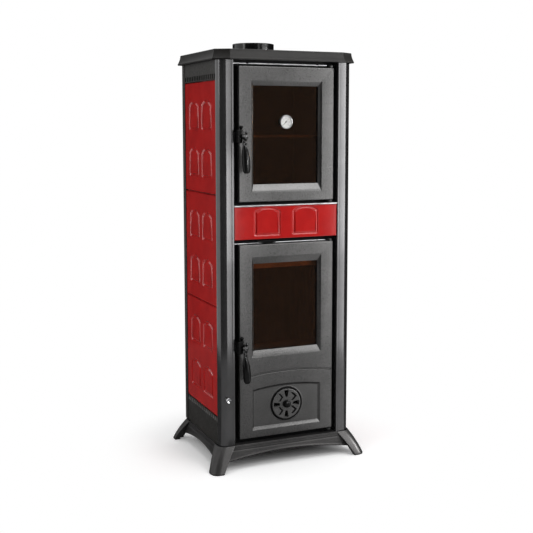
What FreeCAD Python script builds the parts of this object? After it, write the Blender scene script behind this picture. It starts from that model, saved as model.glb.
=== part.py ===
import FreeCAD, Part
import Sketcher
import math
import os

# Wood-burning cooking stove with a baking oven above the firebox.
# Millimetres. Origin on the floor under the middle of the footprint,
# +Z up, the doors face -Y, the latch handles are on the -X side.

Vector = FreeCAD.Vector
DOC = FreeCAD.newDocument("CookingStove")
SHEET = DOC.addObject("Spreadsheet::Sheet", "Sizes")
PARTS = []

# Driving dimensions

SIZES = {
    "body_width": 458.0,
    "body_depth": 350.0,
    # heights stacked from the floor up
    "base_height": 77.0,
    "door_foot_gap": 17.0,
    "fire_lower_height": 283.0,
    "fire_window_height": 279.0,
    "fire_top_rail": 61.5,
    "band_gap_low": 16.5,
    "band_height": 103.0,
    "band_gap_high": 15.0,
    "oven_low_rail": 54.0,
    "oven_window_height": 306.0,
    "oven_top_rail": 58.5,
    "head_gap": 41.5,
    "overrun": 5.0,
    # base casting
    "base_ledge": 3.0,
    "foot_splay": 44.0,
    "leg_width": 48.0,
    "leg_wall": 9.0,
    "apron_wall": 8.0,
    "apron_setback": 1.5,
    "apron_low": 26.0,
    "apron_arch_rise": 19.0,
    "base_flange": 6.0,
    "base_flange_width": 34.0,
    "foot_pad_height": 7.0,
    "foot_pad_lip": 2.0,
    # front columns
    "column_width": 50.0,
    "column_side": 29.0,
    "column_wall": 5.0,
    "corner_radius": 27.0,
    "bead_width": 7.0,
    "bead_height": 1.2,
    # top plate and flue spigot
    "plate_height": 32.0,
    "plate_web": 8.0,
    "plate_overhang": 14.0,
    "plate_band_height": 6.0,
    "plate_band_step": 1.0,
    "plate_cove_height": 10.0,
    "plate_cove_deg": 35.0,
    "plate_neck_deg": 11.0,
    "plate_fit": 1.5,
    "plate_corner": 42.0,
    "plate_back_corner": 14.0,
    "plate_inner_corner": 0.5,
    "flue_bore": 131.0,
    "flue_wall": 4.0,
    "flue_seat_lip": 3.0,
    "flue_height": 40.0,
    "flue_flange_width": 9.0,
    "flue_flange_thick": 5.0,
    "flue_back_inset": 70.0,
    # outer sheets
    "sheet": 1.5,
    "side_inset": 2.0,
    "lower_panel_height": 91.0,
    "upper_panel_height": 84.0,
    "vent_slot_width": 6.0,
    "vent_slot_height": 13.0,
    "vent_slot_edge": 4.0,
    "vent_slot_pitch": 16.0,
    "vent_slot_count": 17.0,
    "back_return": 24.0,
    "back_slot_spacing": 90.0,
    "back_slot_length": 64.8,
    "back_slot_drop": 168.0,
    "back_slot_height": 7.0,
    "back_slot_pitch": 15.0,
    "back_slot_count": 6.0,
    # glazed tiles
    "tile_thick": 8.0,
    "tile_gap": 1.5,
    "tile_edge_bevel": 1.5,
    "tile_fit": 0.5,
    "arch_width": 85.0,
    "arch_shoulder": 72.0,
    "arch_peak": 84.0,
    "arch_cheek_width": 20.0,
    "arch_crown_rise": 2.5,
    "arch_line": 2.4,
    "arch_depth": 1.2,
    "arch_foot_gap": 53.0,
    "arch_row_pitch": 151.0,
    "arch_column_pitch": 121.0,
    "band_recess": 3.0,
    "band_arch_pitch": 132.0,
    "band_arch_foot": 14.0,
    "band_trim_height": 6.0,
    "band_trim_proud": 1.5,
    # front plate, its openings measured from the windows in front of them
    "front_plate": 4.0,
    "front_plate_reach": 11.0,
    "opening_lap": 13.0,
    "fire_opening_below": 25.0,
    "fire_opening_above": 32.0,
    "oven_opening_below": 32.0,
    "oven_opening_above": 28.0,
    "ash_opening_foot": 18.0,
    "ash_opening_drop": 12.0,
    # doors
    "door_side_gap": 16.0,
    "door_thick": 18.0,
    "door_front_round": 2.5,
    "seal_space": 7.0,
    "window_side": 51.0,
    "bevel_side": 42.0,
    "bevel_depth": 10.0,
    "oven_bevel_below": 25.0,
    "oven_bevel_above": 17.0,
    "fire_bevel_below": 21.0,
    "fire_bevel_above": 22.0,
    "glass": 4.0,
    "glass_lap": 11.0,
    "glass_fit": 0.5,
    "retainer_thick": 2.0,
    "retainer_lap": 7.0,
    "retainer_grip": 6.0,
    "seal_width": 9.0,
    "seal_gap": 0.4,
    "seal_margin": 7.0,
    "panel_side": 43.5,
    "panel_foot": 25.0,
    "panel_height": 132.0,
    "panel_rise": 10.5,
    "panel_depth": 2.5,
    "groove_foot": 199.0,
    "groove_rise": 13.0,
    "groove_width": 3.0,
    "groove_depth": 1.5,
    # hinges
    "hinge_inset": 9.0,
    "hinge_pin": 8.0,
    "hinge_pin_reach": 7.5,
    "hinge_pin_seat": 22.0,
    "hinge_fit": 0.08,
    "hinge_gap": 2.0,
    "hinge_lug": 5.0,
    "hinge_lug_round": 8.0,
    # air register on the fire door
    "register_foot": 99.0,
    "register_rim": 53.0,
    "register_radius": 49.5,
    "register_sink": 2.0,
    "register_thick": 5.0,
    "register_fit": 0.3,
    "port_inner": 22.0,
    "port_outer": 43.0,
    "port_angle_deg": 20.0,
    "diamond_reach": 30.0,
    "diamond_half_width": 12.0,
    "diamond_half_height": 15.0,
    "diamond_depth": 1.5,
    "register_hub": 12.5,
    "register_hub_height": 12.0,
    "register_bolt": 8.0,
    "register_bolt_fit": 0.05,
    # handles
    "handle_inset": 12.0,
    "oven_handle_foot": 200.0,
    "fire_handle_foot": 300.0,
    "spindle": 9.0,
    "spindle_fit": 0.05,
    "handle_gap": 2.0,
    "grip_stand": 34.0,
    "hub_radius": 11.0,
    "hub_height": 20.0,
    "tail_reach": 33.0,
    "tail_height": 29.0,
    "tail_thick": 17.0,
    "tail_gap": 3.0,
    "tail_lap": 3.0,
    "knuckle_radius": 7.0,
    "knuckle_rise": 31.0,
    "link_radius": 5.0,
    "link_drop": 24.0,
    "grip_length": 86.0,
    "grip_radius": 12.0,
    "grip_neck": 4.5,
    "cam_length": 18.0,
    "cam_width": 14.0,
    "cam_thick": 4.0,
    "cam_gap": 1.0,
    "striker_thick": 1.5,
    "striker_foot": 12.0,
    "striker_height": 34.0,
    # thermometer
    "dial_rise": 194.0,
    "dial_radius": 21.5,
    "dial_case_depth": 9.0,
    "dial_case_wall": 2.5,
    "dial_thick": 1.0,
    "dial_stem": 8.0,
    "dial_stem_length": 9.0,
    "dial_stem_fit": 0.5,
    "dial_lens": 1.5,
    "dial_lens_inset": 1.0,
    "needle_length": 16.0,
    "needle_tail": 5.0,
    "needle_width": 1.8,
    "needle_thick": 0.8,
    "needle_hub": 2.2,
    "needle_gap": 0.6,
    "needle_rest_deg": 135.0,
    # secondary air lever
    "lever_gap": 7.5,
    "lever_centre": -65.0,
    "lever_length": 74.0,
    "lever_tab_height": 9.0,
    "lever_tab_thick": 3.0,
    "lever_recess": 4.0,
    "lever_arm_width": 12.0,
    "lever_arm_thick": 3.0,
    "lever_travel": 20.0,
    "lever_fit": 0.5,
    "air_hole": 16.0,
    "air_hole_pitch": 44.0,
    "air_hole_rise": 16.0,
    "slide_plate_half": 112.0,
    "slide_plate_height": 44.0,
    "slide_plate_thick": 2.5,
    "slide_fit": 0.3,
    "slide_rail": 6.0,
    "vent_strip_height": 7.0,
    "vent_strip_gap": 2.0,
    "vent_strip_thick": 2.0,
    "vent_strip_stand": 9.0,
    "vent_notch": 7.0,
    "vent_notch_left_inset": 48.0,
    "vent_notch_right_inset": 33.0,
    "upper_strip_gap": 4.5,
    "lower_strip_gap": 1.5,
    # inner body
    "inner_side_gap": 54.0,
    "inner_back_gap": 23.0,
    "inner_foot": 7.0,
    "inner_wall": 3.0,
    "hearth_drop": 47.0,
    "hearth_thick": 4.0,
    # oven
    "oven_side_gap": 30.0,
    "oven_back_gap": 52.0,
    "oven_floor_drop": 8.0,
    "oven_roof_rise": 7.0,
    "rack_rise": 186.0,
    "oven_wall": 2.5,
    "oven_stone": 12.0,
    "oven_stone_fit": 2.0,
    "rack_wire": 6.0,
    "rack_rod": 3.5,
    "rack_rod_count": 13.0,
    "rack_margin": 2.0,
    "rack_front_gap": 14.0,
    "rail_width": 10.0,
    "rail_thick": 2.5,
    # firebox
    "lining_thick": 28.0,
    "lining_rise": 2.0,
    "lining_fit": 1.0,
    "flute_width": 9.0,
    "flute_depth": 4.0,
    "flute_pitch": 22.0,
    "flute_count": 9.0,
    "back_flute_count": 11.0,
    "baffle_thick": 22.0,
    "baffle_front_gap": 70.0,
    "guard_thick": 6.0,
    "guard_height": 64.0,
    "guard_gap": 5.0,
    "guard_foot": 22.0,
    "deflector_drop": 36.0,
    "deflector_lip": 16.0,
    "deflector_reach": 16.0,
    "deflector_thick": 2.5,
    # grate, riddling rod and ash pan
    "grate_half_x": 82.0,
    "grate_front_gap": 74.0,
    "grate_back_gap": 64.0,
    "grate_flange": 12.0,
    "grate_thick": 8.0,
    "grate_slot": 8.0,
    "grate_slot_pitch": 18.0,
    "grate_slot_count": 8.0,
    "grate_slot_half": 62.0,
    "hanger_drop": 18.0,
    "hanger_lip": 10.0,
    "hanger_thick": 4.0,
    "riddle_fit": 0.5,
    "riddle_thick": 8.0,
    "riddle_travel": 25.0,
    "rod_inset": 20.0,
    "rod_drop": 97.0,
    "rod_radius": 4.0,
    "rod_fit": 0.08,
    "rod_front": 14.0,
    "arm_gap": 24.0,
    "arm_width": 12.0,
    "arm_thick": 7.0,
    "slot_fit": 3.0,
    "arm_inset": 20.0,
    "guide_rise": 46.0,
    "guide_thick": 6.0,
    "guide_height": 24.0,
    "guide_gap": 0.3,
    "knob_radius": 8.5,
    "knob_length": 11.0,
    "knob_neck": 5.0,
    "pan_side_gap": 13.0,
    "pan_front_gap": 8.0,
    "pan_back_gap": 42.0,
    "pan_rod_gap": 37.0,
    "pan_wall": 1.5,
    "pan_rim": 5.0,
    # small fasteners
    "screw_head": 9.0,
    "screw_head_high": 2.4,
    "screw_edge": 10.0,
}


class Size:
    """A length with its sheet expression, so one formula gives value and binding."""

    def __init__(self, value, text):
        self.value = float(value)
        self.text = text

    @staticmethod
    def of(other):
        if isinstance(other, Size):
            return other
        return Size(other, repr(float(other)))

    def __add__(self, other):
        other = Size.of(other)
        return Size(self.value + other.value, "(%s + %s)" % (self.text, other.text))

    def __radd__(self, other):
        return Size.of(other) + self

    def __sub__(self, other):
        other = Size.of(other)
        return Size(self.value - other.value, "(%s - %s)" % (self.text, other.text))

    def __rsub__(self, other):
        return Size.of(other) - self

    def __mul__(self, other):
        other = Size.of(other)
        return Size(self.value * other.value, "(%s * %s)" % (self.text, other.text))

    def __rmul__(self, other):
        return Size.of(other) * self

    def __truediv__(self, other):
        other = Size.of(other)
        return Size(self.value / other.value, "(%s / %s)" % (self.text, other.text))

    def __neg__(self):
        return Size(-self.value, "(-(%s))" % self.text)

    def __float__(self):
        return self.value


for row, (alias, number) in enumerate(SIZES.items(), 1):
    SHEET.set("A%d" % row, alias.replace("_", " "))
    SHEET.set("B%d" % row, repr(number))
    SHEET.setAlias("B%d" % row, alias)
DOC.recompute()


def size(alias):
    """The named length from the sheet."""
    return Size(SHEET.get(alias), "Sizes." + alias)


ZERO = Size(0.0, "0")


def bind(item, path, length):
    """Tie one property of a document object to its formula."""
    item.setExpression(path, Size.of(length).text)


def place(item, x=ZERO, y=ZERO, z=ZERO):
    for axis, length in (("x", x), ("y", y), ("z", z)):
        bind(item, ".Placement.Base." + axis, length)
    return item


def keep(item, label):
    """Name a finished piece; its label is its file name."""
    item.Label = label
    PARTS.append(item)
    return item


def box(x, y, z):
    """Block between three pairs of limits."""
    item = DOC.addObject("Part::Box", "Block")
    bind(item, "Length", Size.of(x[1]) - x[0])
    bind(item, "Width", Size.of(y[1]) - y[0])
    bind(item, "Height", Size.of(z[1]) - z[0])
    return place(item, Size.of(x[0]), Size.of(y[0]), Size.of(z[0]))


TURNS = {
    "x": FreeCAD.Rotation(Vector(0, 1, 0), 90),
    "y": FreeCAD.Rotation(Vector(1, 0, 0), -90),
    "z": FreeCAD.Rotation(),
}


def rod(axis, radius, length, x, y, z):
    """Cylinder from a point along +X, +Y or +Z."""
    item = DOC.addObject("Part::Cylinder", "Rod")
    item.Placement = FreeCAD.Placement(Vector(), TURNS[axis])
    bind(item, "Radius", radius)
    bind(item, "Height", length)
    return place(item, Size.of(x), Size.of(y), Size.of(z))


def cut(base, *tools):
    """Take every tool away from the base."""
    item = DOC.addObject("Part::Cut", "Cut")
    item.Base = base
    item.Tool = tools[0] if len(tools) == 1 else fuse(*tools)
    return item


def fuse(*pieces):
    item = DOC.addObject("Part::MultiFuse", "Fusion")
    item.Shapes = list(pieces)
    return item


def group(*pieces):
    """Several separate solids kept as one piece."""
    item = DOC.addObject("Part::Compound", "Group")
    item.Links = list(pieces)
    return item


def draw(body, plane, loops, offset=ZERO):
    """Sketch on a body's own plane. A loop is a list of (x, y) or (x, y, chord, rise),
    where a corner with a chord starts an arc of that rise towards the next corner.
    A loop (x, y, radius) in a tuple is a circle."""
    sketch = body.newObject("Sketcher::SketchObject", "Sketch")
    role = [o for o in body.Origin.OriginFeatures if o.Role == plane + "_Plane"][0]
    sketch.AttachmentSupport = [(role, "")]
    sketch.MapMode = "FlatFace"
    bind(sketch, "AttachmentOffset.Base.z", offset)

    def fix(kind, geometry, end, length):
        number = sketch.addConstraint(
            Sketcher.Constraint(kind, -1, 1, geometry, end, float(length)))
        sketch.setExpression("Constraints[%d]" % number, Size.of(length).text)

    def tie_radius(geometry, length):
        number = sketch.addConstraint(Sketcher.Constraint("Radius", geometry, float(length)))
        sketch.setExpression("Constraints[%d]" % number, length.text)

    for loop in loops:
        if isinstance(loop, tuple):
            x, y, radius = loop
            circle = sketch.addGeometry(
                Part.Circle(Vector(float(x), float(y), 0), Vector(0, 0, 1), float(radius)))
            fix("DistanceX", circle, 3, x)
            fix("DistanceY", circle, 3, y)
            tie_radius(circle, Size.of(radius))
            continue
        spots = [Vector(float(corner[0]), float(corner[1]), 0) for corner in loop]
        runs = []
        for index, corner in enumerate(loop):
            first = spots[index]
            last = spots[(index + 1) % len(spots)]
            if len(corner) == 2:
                runs.append((sketch.addGeometry(Part.LineSegment(first, last)), 1, 2))
                continue
            along = last - first
            side = Vector(along.y, -along.x, 0).normalize()
            middle = (first + last) * 0.5 + side * float(corner[3])
            arc = sketch.addGeometry(Part.Arc(first, middle, last))
            forward = sketch.getPoint(arc, 1).distanceToPoint(first) < \
                sketch.getPoint(arc, 2).distanceToPoint(first)
            runs.append((arc, 1, 2) if forward else (arc, 2, 1))
            chord, rise = Size.of(corner[2]), abs_size(corner[3])
            tie_radius(arc, (chord * chord / 4 + rise * rise) / (2 * rise))
        for index, (geometry, start, end) in enumerate(runs):
            after, after_start, _ = runs[(index + 1) % len(runs)]
            sketch.addConstraint(
                Sketcher.Constraint("Coincident", geometry, end, after, after_start))
            fix("DistanceX", geometry, start, loop[index][0])
            fix("DistanceY", geometry, start, loop[index][1])
    return sketch


def abs_size(length):
    length = Size.of(length)
    return -length if length.value < 0 else length


def rectangle(low_x, high_x, low_y, high_y):
    return [(low_x, low_y), (high_x, low_y), (high_x, high_y), (low_x, high_y)]


def rounded(half_x, half_y, front_radius, back_radius):
    """Rectangle about the middle with quarter-round corners."""
    bend = 1 - math.sqrt(0.5)
    near = (front_radius * math.sqrt(2.0), front_radius * bend)
    far = (back_radius * math.sqrt(2.0), back_radius * bend)
    near_x, near_y = half_x - front_radius, half_y - front_radius
    far_x, far_y = half_x - back_radius, half_y - back_radius
    return [
        (-near_x, -half_y), (near_x, -half_y, *near), (half_x, -near_y), (half_x, far_y, *far),
        (far_x, half_y), (-far_x, half_y, *far), (-half_x, far_y), (-half_x, -near_y, *near),
    ]


# On the XZ plane a sketch's normal points to the front, so offsets there are -y.

def new_body(label):
    body = DOC.addObject("PartDesign::Body", label)
    return keep(body, label)


def pad(body, plane, loops, start, end):
    """Prism between two offsets along the plane's normal."""
    sketch = draw(body, plane, loops, start)
    feature = body.newObject("PartDesign::Pad", "Pad")
    feature.Profile = sketch
    bind(feature, "Length", Size.of(end) - start)
    body.Tip = feature
    return feature


def pocket(body, plane, loops, start, end):
    """Cut between two offsets along the plane's normal."""
    sketch = draw(body, plane, loops, end)
    feature = body.newObject("PartDesign::Pocket", "Pocket")
    feature.Profile = sketch
    bind(feature, "Length", Size.of(end) - start)
    body.Tip = feature
    return feature


def repeat(body, feature, axis, pitch, count):
    """Linear pattern of a feature along its sketch's own axis."""
    pattern = body.newObject("PartDesign::LinearPattern", "Pattern")
    pattern.Originals = [feature]
    pattern.Direction = (feature.Profile[0], [axis])
    bind(pattern, "Length", pitch * (count - 1))
    bind(pattern, "Occurrences", count)
    body.Tip = pattern
    return pattern


def turn(body, points, x, y, z, axis="z"):
    """Revolved piece: points are (radius, height) round a vertical line, or round a
    line towards the front where the axis is y."""
    sketch = draw(body, "XZ", [points])
    feature = body.newObject("PartDesign::Revolution", "Revolution")
    feature.Profile = sketch
    feature.ReferenceAxis = (sketch, ["V_Axis"])
    feature.Angle = 360
    body.Tip = feature
    if axis == "y":
        body.Placement = FreeCAD.Placement(Vector(), FreeCAD.Rotation(Vector(1, 0, 0), 90))
    place(body, x, y, z)
    return feature


facet_sides = 16
screw_sides = 6


def corners_round(x, y, radius, sides=facet_sides):
    """Corners of a regular polygon about (x, y)."""
    turns = [2 * math.pi * number / sides for number in range(sides)]
    return [(x + radius * math.cos(turn), y + radius * math.sin(turn)) for turn in turns]


def facet(points, x, y, z, axis="z", sides=facet_sides):
    """Turned form with flat facets: a regular polygon at each (radius, height) from the
    foot up, joined by four-cornered faces. Axis y stands the height towards the front."""
    rings = []
    for radius, height in points:
        corners = corners_round(ZERO, ZERO, Size.of(radius), sides)
        rings.append([Vector(float(a), float(b), float(height)) for a, b in corners])
    loops = [rings[0], rings[-1]]
    for low, high in zip(rings, rings[1:]):
        for number in range(sides):
            before = number - 1
            loops.append([low[before], low[number], high[number], high[before]])
    faces = [Part.Face(Part.makePolygon(loop + loop[:1])) for loop in loops]
    item = DOC.addObject("Part::Feature", "Facets")
    item.Shape = Part.Solid(Part.Shell(faces)).removeSplitter()
    if axis == "y":
        item.Placement = FreeCAD.Placement(Vector(), FreeCAD.Rotation(Vector(1, 0, 0), 90))
    return place(item, Size.of(x), Size.of(y), Size.of(z))


def edges_of(feature, test):
    """Names of the edges that a test picks, found again on every run."""
    DOC.recompute()
    names = []
    for number, edge in enumerate(feature.Shape.Edges, 1):
        if test(edge):
            names.append("Edge%d" % number)
    return names


def round_edges(body, radius, test):
    base = body.Tip
    names = edges_of(base, test)
    feature = body.newObject("PartDesign::Fillet", "Fillet")
    feature.Base = (base, names)
    bind(feature, "Radius", radius)
    body.Tip = feature
    return feature


def bevel_edges(body, length, test):
    base = body.Tip
    names = edges_of(base, test)
    feature = body.newObject("PartDesign::Chamfer", "Chamfer")
    feature.Base = (base, names)
    bind(feature, "Size", length)
    body.Tip = feature
    return feature


def at(value, length):
    return abs(value - float(length)) < 0.01


# Main levels and planes

half_width = size("body_width") / 2
half_depth = size("body_depth") / 2
front = -half_depth
overrun = size("overrun")
column_inner = half_width - size("column_width")
door_half = column_inner - size("door_side_gap")
window_half = door_half - size("window_side")
bevel_half = door_half - size("bevel_side")
panel_half = door_half - size("panel_side")

base_top = size("base_height")
fire_door_low = base_top + size("door_foot_gap")
fire_window_low = fire_door_low + size("fire_lower_height")
fire_window_high = fire_window_low + size("fire_window_height")
fire_door_high = fire_window_high + size("fire_top_rail")
band_low = fire_door_high + size("band_gap_low")
band_high = band_low + size("band_height")
oven_door_low = band_high + size("band_gap_high")
oven_window_low = oven_door_low + size("oven_low_rail")
oven_window_high = oven_window_low + size("oven_window_height")
oven_door_high = oven_window_high + size("oven_top_rail")
body_top = oven_door_high + size("head_gap")
plate_top = body_top + size("plate_web")
plate_low = plate_top - size("plate_height")

fire_bevel_low = fire_window_low - size("fire_bevel_below")
fire_bevel_high = fire_window_high + size("fire_bevel_above")
oven_bevel_low = oven_window_low - size("oven_bevel_below")
oven_bevel_high = oven_window_high + size("oven_bevel_above")
panel_low = fire_door_low + size("panel_foot")
panel_high = panel_low + size("panel_height")
groove_high = fire_door_low + size("groove_foot")
register_height = fire_door_low + size("register_foot")
fire_handle_height = fire_door_low + size("fire_handle_foot")
oven_handle_height = oven_door_low + size("oven_handle_foot")
dial_height = oven_window_low + size("dial_rise")
lever_height = fire_door_high + size("lever_gap")
lower_strip_low = fire_door_high + size("lower_strip_gap")
upper_strip_low = oven_door_high + size("upper_strip_gap")

door_back = front + size("door_thick")
frame_front = door_back + size("seal_space")
frame_back = frame_front + size("front_plate")
glass_front = door_back - size("glass")
flue_y = half_depth - size("flue_back_inset")
strip_left = size("vent_strip_gap") - column_inner
strip_right = (door_half - size("hinge_inset") - size("hinge_lug_round") - size("hinge_gap"))
vent_notch_left = strip_left + size("vent_notch_left_inset")
vent_notch_right = strip_right - size("vent_notch_right_inset")

hearth_high = fire_window_low - size("hearth_drop")
fire_opening_half = window_half + size("opening_lap")
fire_opening_low = fire_window_low - size("fire_opening_below")
fire_opening_high = fire_window_high + size("fire_opening_above")
oven_opening_low = oven_window_low - size("oven_opening_below")
oven_opening_high = oven_window_high + size("oven_opening_above")
ash_opening_low = fire_door_low + size("ash_opening_foot")
ash_opening_high = hearth_high - size("ash_opening_drop")
air_hole_height = fire_opening_high + size("air_hole_rise")
slide_middle = air_hole_height + size("air_hole") / 2

inner_half = half_width - size("inner_side_gap")
inner_back = half_depth - size("inner_back_gap")
inner_low = base_top + size("inner_foot")
oven_half = inner_half - size("oven_side_gap")
oven_back = inner_back - size("oven_back_gap")
oven_low = oven_opening_low - size("oven_floor_drop")
oven_high = oven_opening_high + size("oven_roof_rise")
rack_height = oven_low + size("rack_rise")
lining_high = fire_opening_high + size("lining_rise")
guard_high = hearth_high + size("guard_height")
deflector_high = fire_opening_high - size("deflector_drop")
deflector_low = deflector_high - size("deflector_lip")
grate_front = frame_back + size("grate_front_gap")
grate_back = inner_back - size("grate_back_gap")
arm_back = grate_front + size("arm_gap")
arm_reach = size("grate_half_x") - size("arm_inset")
rod_side = half_width - size("rod_inset")
rod_height = hearth_high - size("rod_drop")
guide_front = frame_back + size("guide_rise")
pan_half = fire_opening_half - size("pan_side_gap")
pan_front = frame_back + size("pan_front_gap")
pan_back = inner_back - size("pan_back_gap")
pan_high = rod_height - size("pan_rod_gap")

screw_height_shares = (0.03, 0.27, 0.5, 0.73, 0.97)
cam_nose_share = 0.8
slot_shares = (-1, 0, 1)
link_bulge_share = 1.3


def base_frame():
    """One casting: four splayed angle legs, arched aprons and a top flange."""
    height = float(base_top)
    splay = float(size("foot_splay"))
    ledge = float(size("base_ledge"))
    arm = float(size("leg_width"))
    wall = float(size("leg_wall"))
    radius = float(size("corner_radius"))
    level_shares = (0.0, 0.25, 0.55, 1.0)
    splay_power = 1.7

    def reach(z):
        return ledge + (splay - ledge) * (1 - z / height) ** splay_power

    def leg_ring(z):
        corner = Vector(-float(half_width) - reach(z), -float(half_depth) - reach(z), z)

        def spot(x, y):
            return corner + Vector(x, y, 0)

        bend = 1 - math.sqrt(0.5)
        inner = radius - wall
        outer_mid = spot(radius * bend, radius * bend)
        inner_mid = spot(wall + inner * bend, wall + inner * bend)
        edges = [
            Part.LineSegment(spot(arm, 0), spot(radius, 0)),
            Part.Arc(spot(radius, 0), outer_mid, spot(0, radius)),
            Part.LineSegment(spot(0, radius), spot(0, arm)),
            Part.LineSegment(spot(0, arm), spot(wall, arm)),
            Part.LineSegment(spot(wall, arm), spot(wall, radius)),
            Part.Arc(spot(wall, radius), inner_mid, spot(radius, wall)),
            Part.LineSegment(spot(radius, wall), spot(arm, wall)),
            Part.LineSegment(spot(arm, wall), spot(arm, 0)),
        ]
        return Part.Wire([edge.toShape() for edge in edges])

    stretches = []
    for low_share, high_share in zip(level_shares, level_shares[1:]):
        low, high = low_share * height, high_share * height
        draw_in = reach(low) - reach(high)
        ring = Part.Face(leg_ring(low))
        stretches.append(ring.extrude(Vector(draw_in, draw_in, high - low)))
    leg = stretches[0].multiFuse(stretches[1:])
    pad_height = float(size("foot_pad_height"))
    lip = float(size("foot_pad_lip"))
    foot_x = float(half_width) + reach(0.0) + lip
    foot_y = float(half_depth) + reach(0.0) + lip
    foot = Part.makeBox(arm + lip, arm + lip, pad_height, Vector(-foot_x, -foot_y, 0))
    upright = [edge for edge in foot.Edges
               if at(edge.BoundBox.XMin, -foot_x) and at(edge.BoundBox.XMax, -foot_x)
               and at(edge.BoundBox.YMin, -foot_y) and at(edge.BoundBox.YMax, -foot_y)]
    foot = foot.makeFillet(radius, upright)
    leg = leg.fuse(foot)
    legs = [leg, leg.mirror(Vector(), Vector(1, 0, 0))]
    legs += [piece.mirror(Vector(), Vector(0, 1, 0)) for piece in legs]

    low = float(size("apron_low"))
    setback = float(size("apron_setback"))
    thick = float(size("apron_wall"))
    rise = float(size("apron_arch_rise"))
    spare = float(overrun)
    aprons = []
    for half_run, half_span in ((half_width, half_depth), (half_depth, half_width)):
        run = float(half_run) + reach(low) - arm + wall / 2
        face = float(half_span) - setback
        corners = [
            Vector(-run, -face - reach(low), low),
            Vector(-run, -face - ledge, height),
            Vector(-run, -face - ledge + thick, height),
            Vector(-run, -face - reach(low) + thick, low),
        ]
        outline = Part.makePolygon(corners + corners[:1])
        apron = Part.Face(outline).extrude(Vector(2 * run, 0, 0))
        reach_out = face + reach(0.0) + spare
        arch = Part.Arc(Vector(-run, -reach_out, low), Vector(0, -reach_out, low + rise),
                        Vector(run, -reach_out, low))
        under = Part.Face(Part.Wire([
            arch.toShape(),
            Part.makeLine(Vector(run, -reach_out, low), Vector(run, -reach_out, -spare)),
            Part.makeLine(Vector(run, -reach_out, -spare), Vector(-run, -reach_out, -spare)),
            Part.makeLine(Vector(-run, -reach_out, -spare), Vector(-run, -reach_out, low)),
        ]))
        apron = apron.cut(under.extrude(Vector(0, reach_out, 0)))
        aprons.append(apron)
        aprons.append(apron.mirror(Vector(), Vector(0, 1, 0)))
    for apron in aprons[2:]:
        apron.rotate(Vector(), Vector(0, 0, 1), 90)

    flange = float(size("base_flange"))
    inset = float(size("base_flange_width"))
    outer = Part.makeBox(2 * (float(half_width) + ledge), 2 * (float(half_depth) + ledge), flange,
                         Vector(-float(half_width) - ledge, -float(half_depth) - ledge,
                                height - flange))
    corners = [edge for edge in outer.Edges if at(abs(edge.tangentAt(edge.FirstParameter).z), 1)]
    outer = outer.makeFillet(radius, corners)
    hole = Part.makeBox(2 * (float(half_width) - inset), 2 * (float(half_depth) - inset),
                        flange + 2 * spare,
                        Vector(-float(half_width) + inset, -float(half_depth) + inset,
                               height - flange - spare))
    shape = outer.cut(hole).multiFuse(legs + aprons).removeSplitter()
    item = DOC.addObject("Part::Feature", "base_frame")
    item.Shape = shape
    keep(item, "base_frame")


def column(label, side):
    """Cast front corner, one profile drawn up the stove's height."""
    radius = size("corner_radius")
    wall = size("column_wall")
    inner = side * column_inner
    outer = side * half_width
    bead = side * size("bead_width")
    step = size("bead_height")
    face = front + step
    back = frame_front
    rise = radius * (1 - math.sqrt(0.5))
    chord = radius * math.sqrt(2.0)
    inner_radius = radius - wall
    inner_rise = inner_radius * (1 - math.sqrt(0.5))
    inner_chord = inner_radius * math.sqrt(2.0)
    end = front + size("column_side")
    profile = [
        (inner, back),
        (inner, front),
        (inner + bead, front),
        (inner + bead, face),
        (outer - side * radius, face, chord, rise * side),
        (outer, face + radius),
        (outer, end),
        (outer - side * wall, end),
        (outer - side * wall, face + radius, inner_chord, inner_rise * side * -1),
        (outer - side * radius, face + wall),
        (inner + side * wall, face + wall),
        (inner + side * wall, back),
    ]
    body = new_body(label)
    pad(body, "XY", [profile], base_top, body_top)
    if side < 0:
        pocket(body, "XZ", [(-rod_side, rod_height,
                             size("rod_radius") + size("rod_fit"))],
               -frame_front, -front + overrun)


def side_sheet(label, side):
    """Folded side sheet: proud panels above and below, set back behind the tiles."""
    sheet = size("sheet")
    face = side * (half_width - size("side_inset"))
    deep = side * (half_width - size("side_inset") - size("tile_thick") - size("tile_fit"))
    thick = side * sheet
    low = base_top + size("lower_panel_height")
    high = body_top - size("upper_panel_height")
    profile = [
        (face, base_top), (face, low), (deep, low), (deep, high), (face, high),
        (face, body_top), (face - thick, body_top), (face - thick, high + sheet),
        (deep - thick, high + sheet), (deep - thick, low - sheet),
        (face - thick, low - sheet), (face - thick, base_top),
    ]
    body = new_body(label)
    start = front + size("column_side")
    pad(body, "XZ", [profile], -(half_depth - sheet), -start)
    count = size("vent_slot_count")
    pitch = size("vent_slot_pitch")
    first = -(pitch * (count - 1) / 2) + (start + half_depth - size("back_return")) / 2
    width = size("vent_slot_width")
    edge = size("vent_slot_edge")
    for low_z in (low - edge - size("vent_slot_height"), high + edge):
        loop = rectangle(first - width / 2, first + width / 2,
                         low_z, low_z + size("vent_slot_height"))
        outer = face + side * overrun
        inner = face - side * overrun
        ends = (outer, inner) if side < 0 else (inner, outer)
        slot = pocket(body, "YZ", [loop], ends[0], ends[1])
        repeat(body, slot, "H_Axis", pitch, count)


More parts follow.
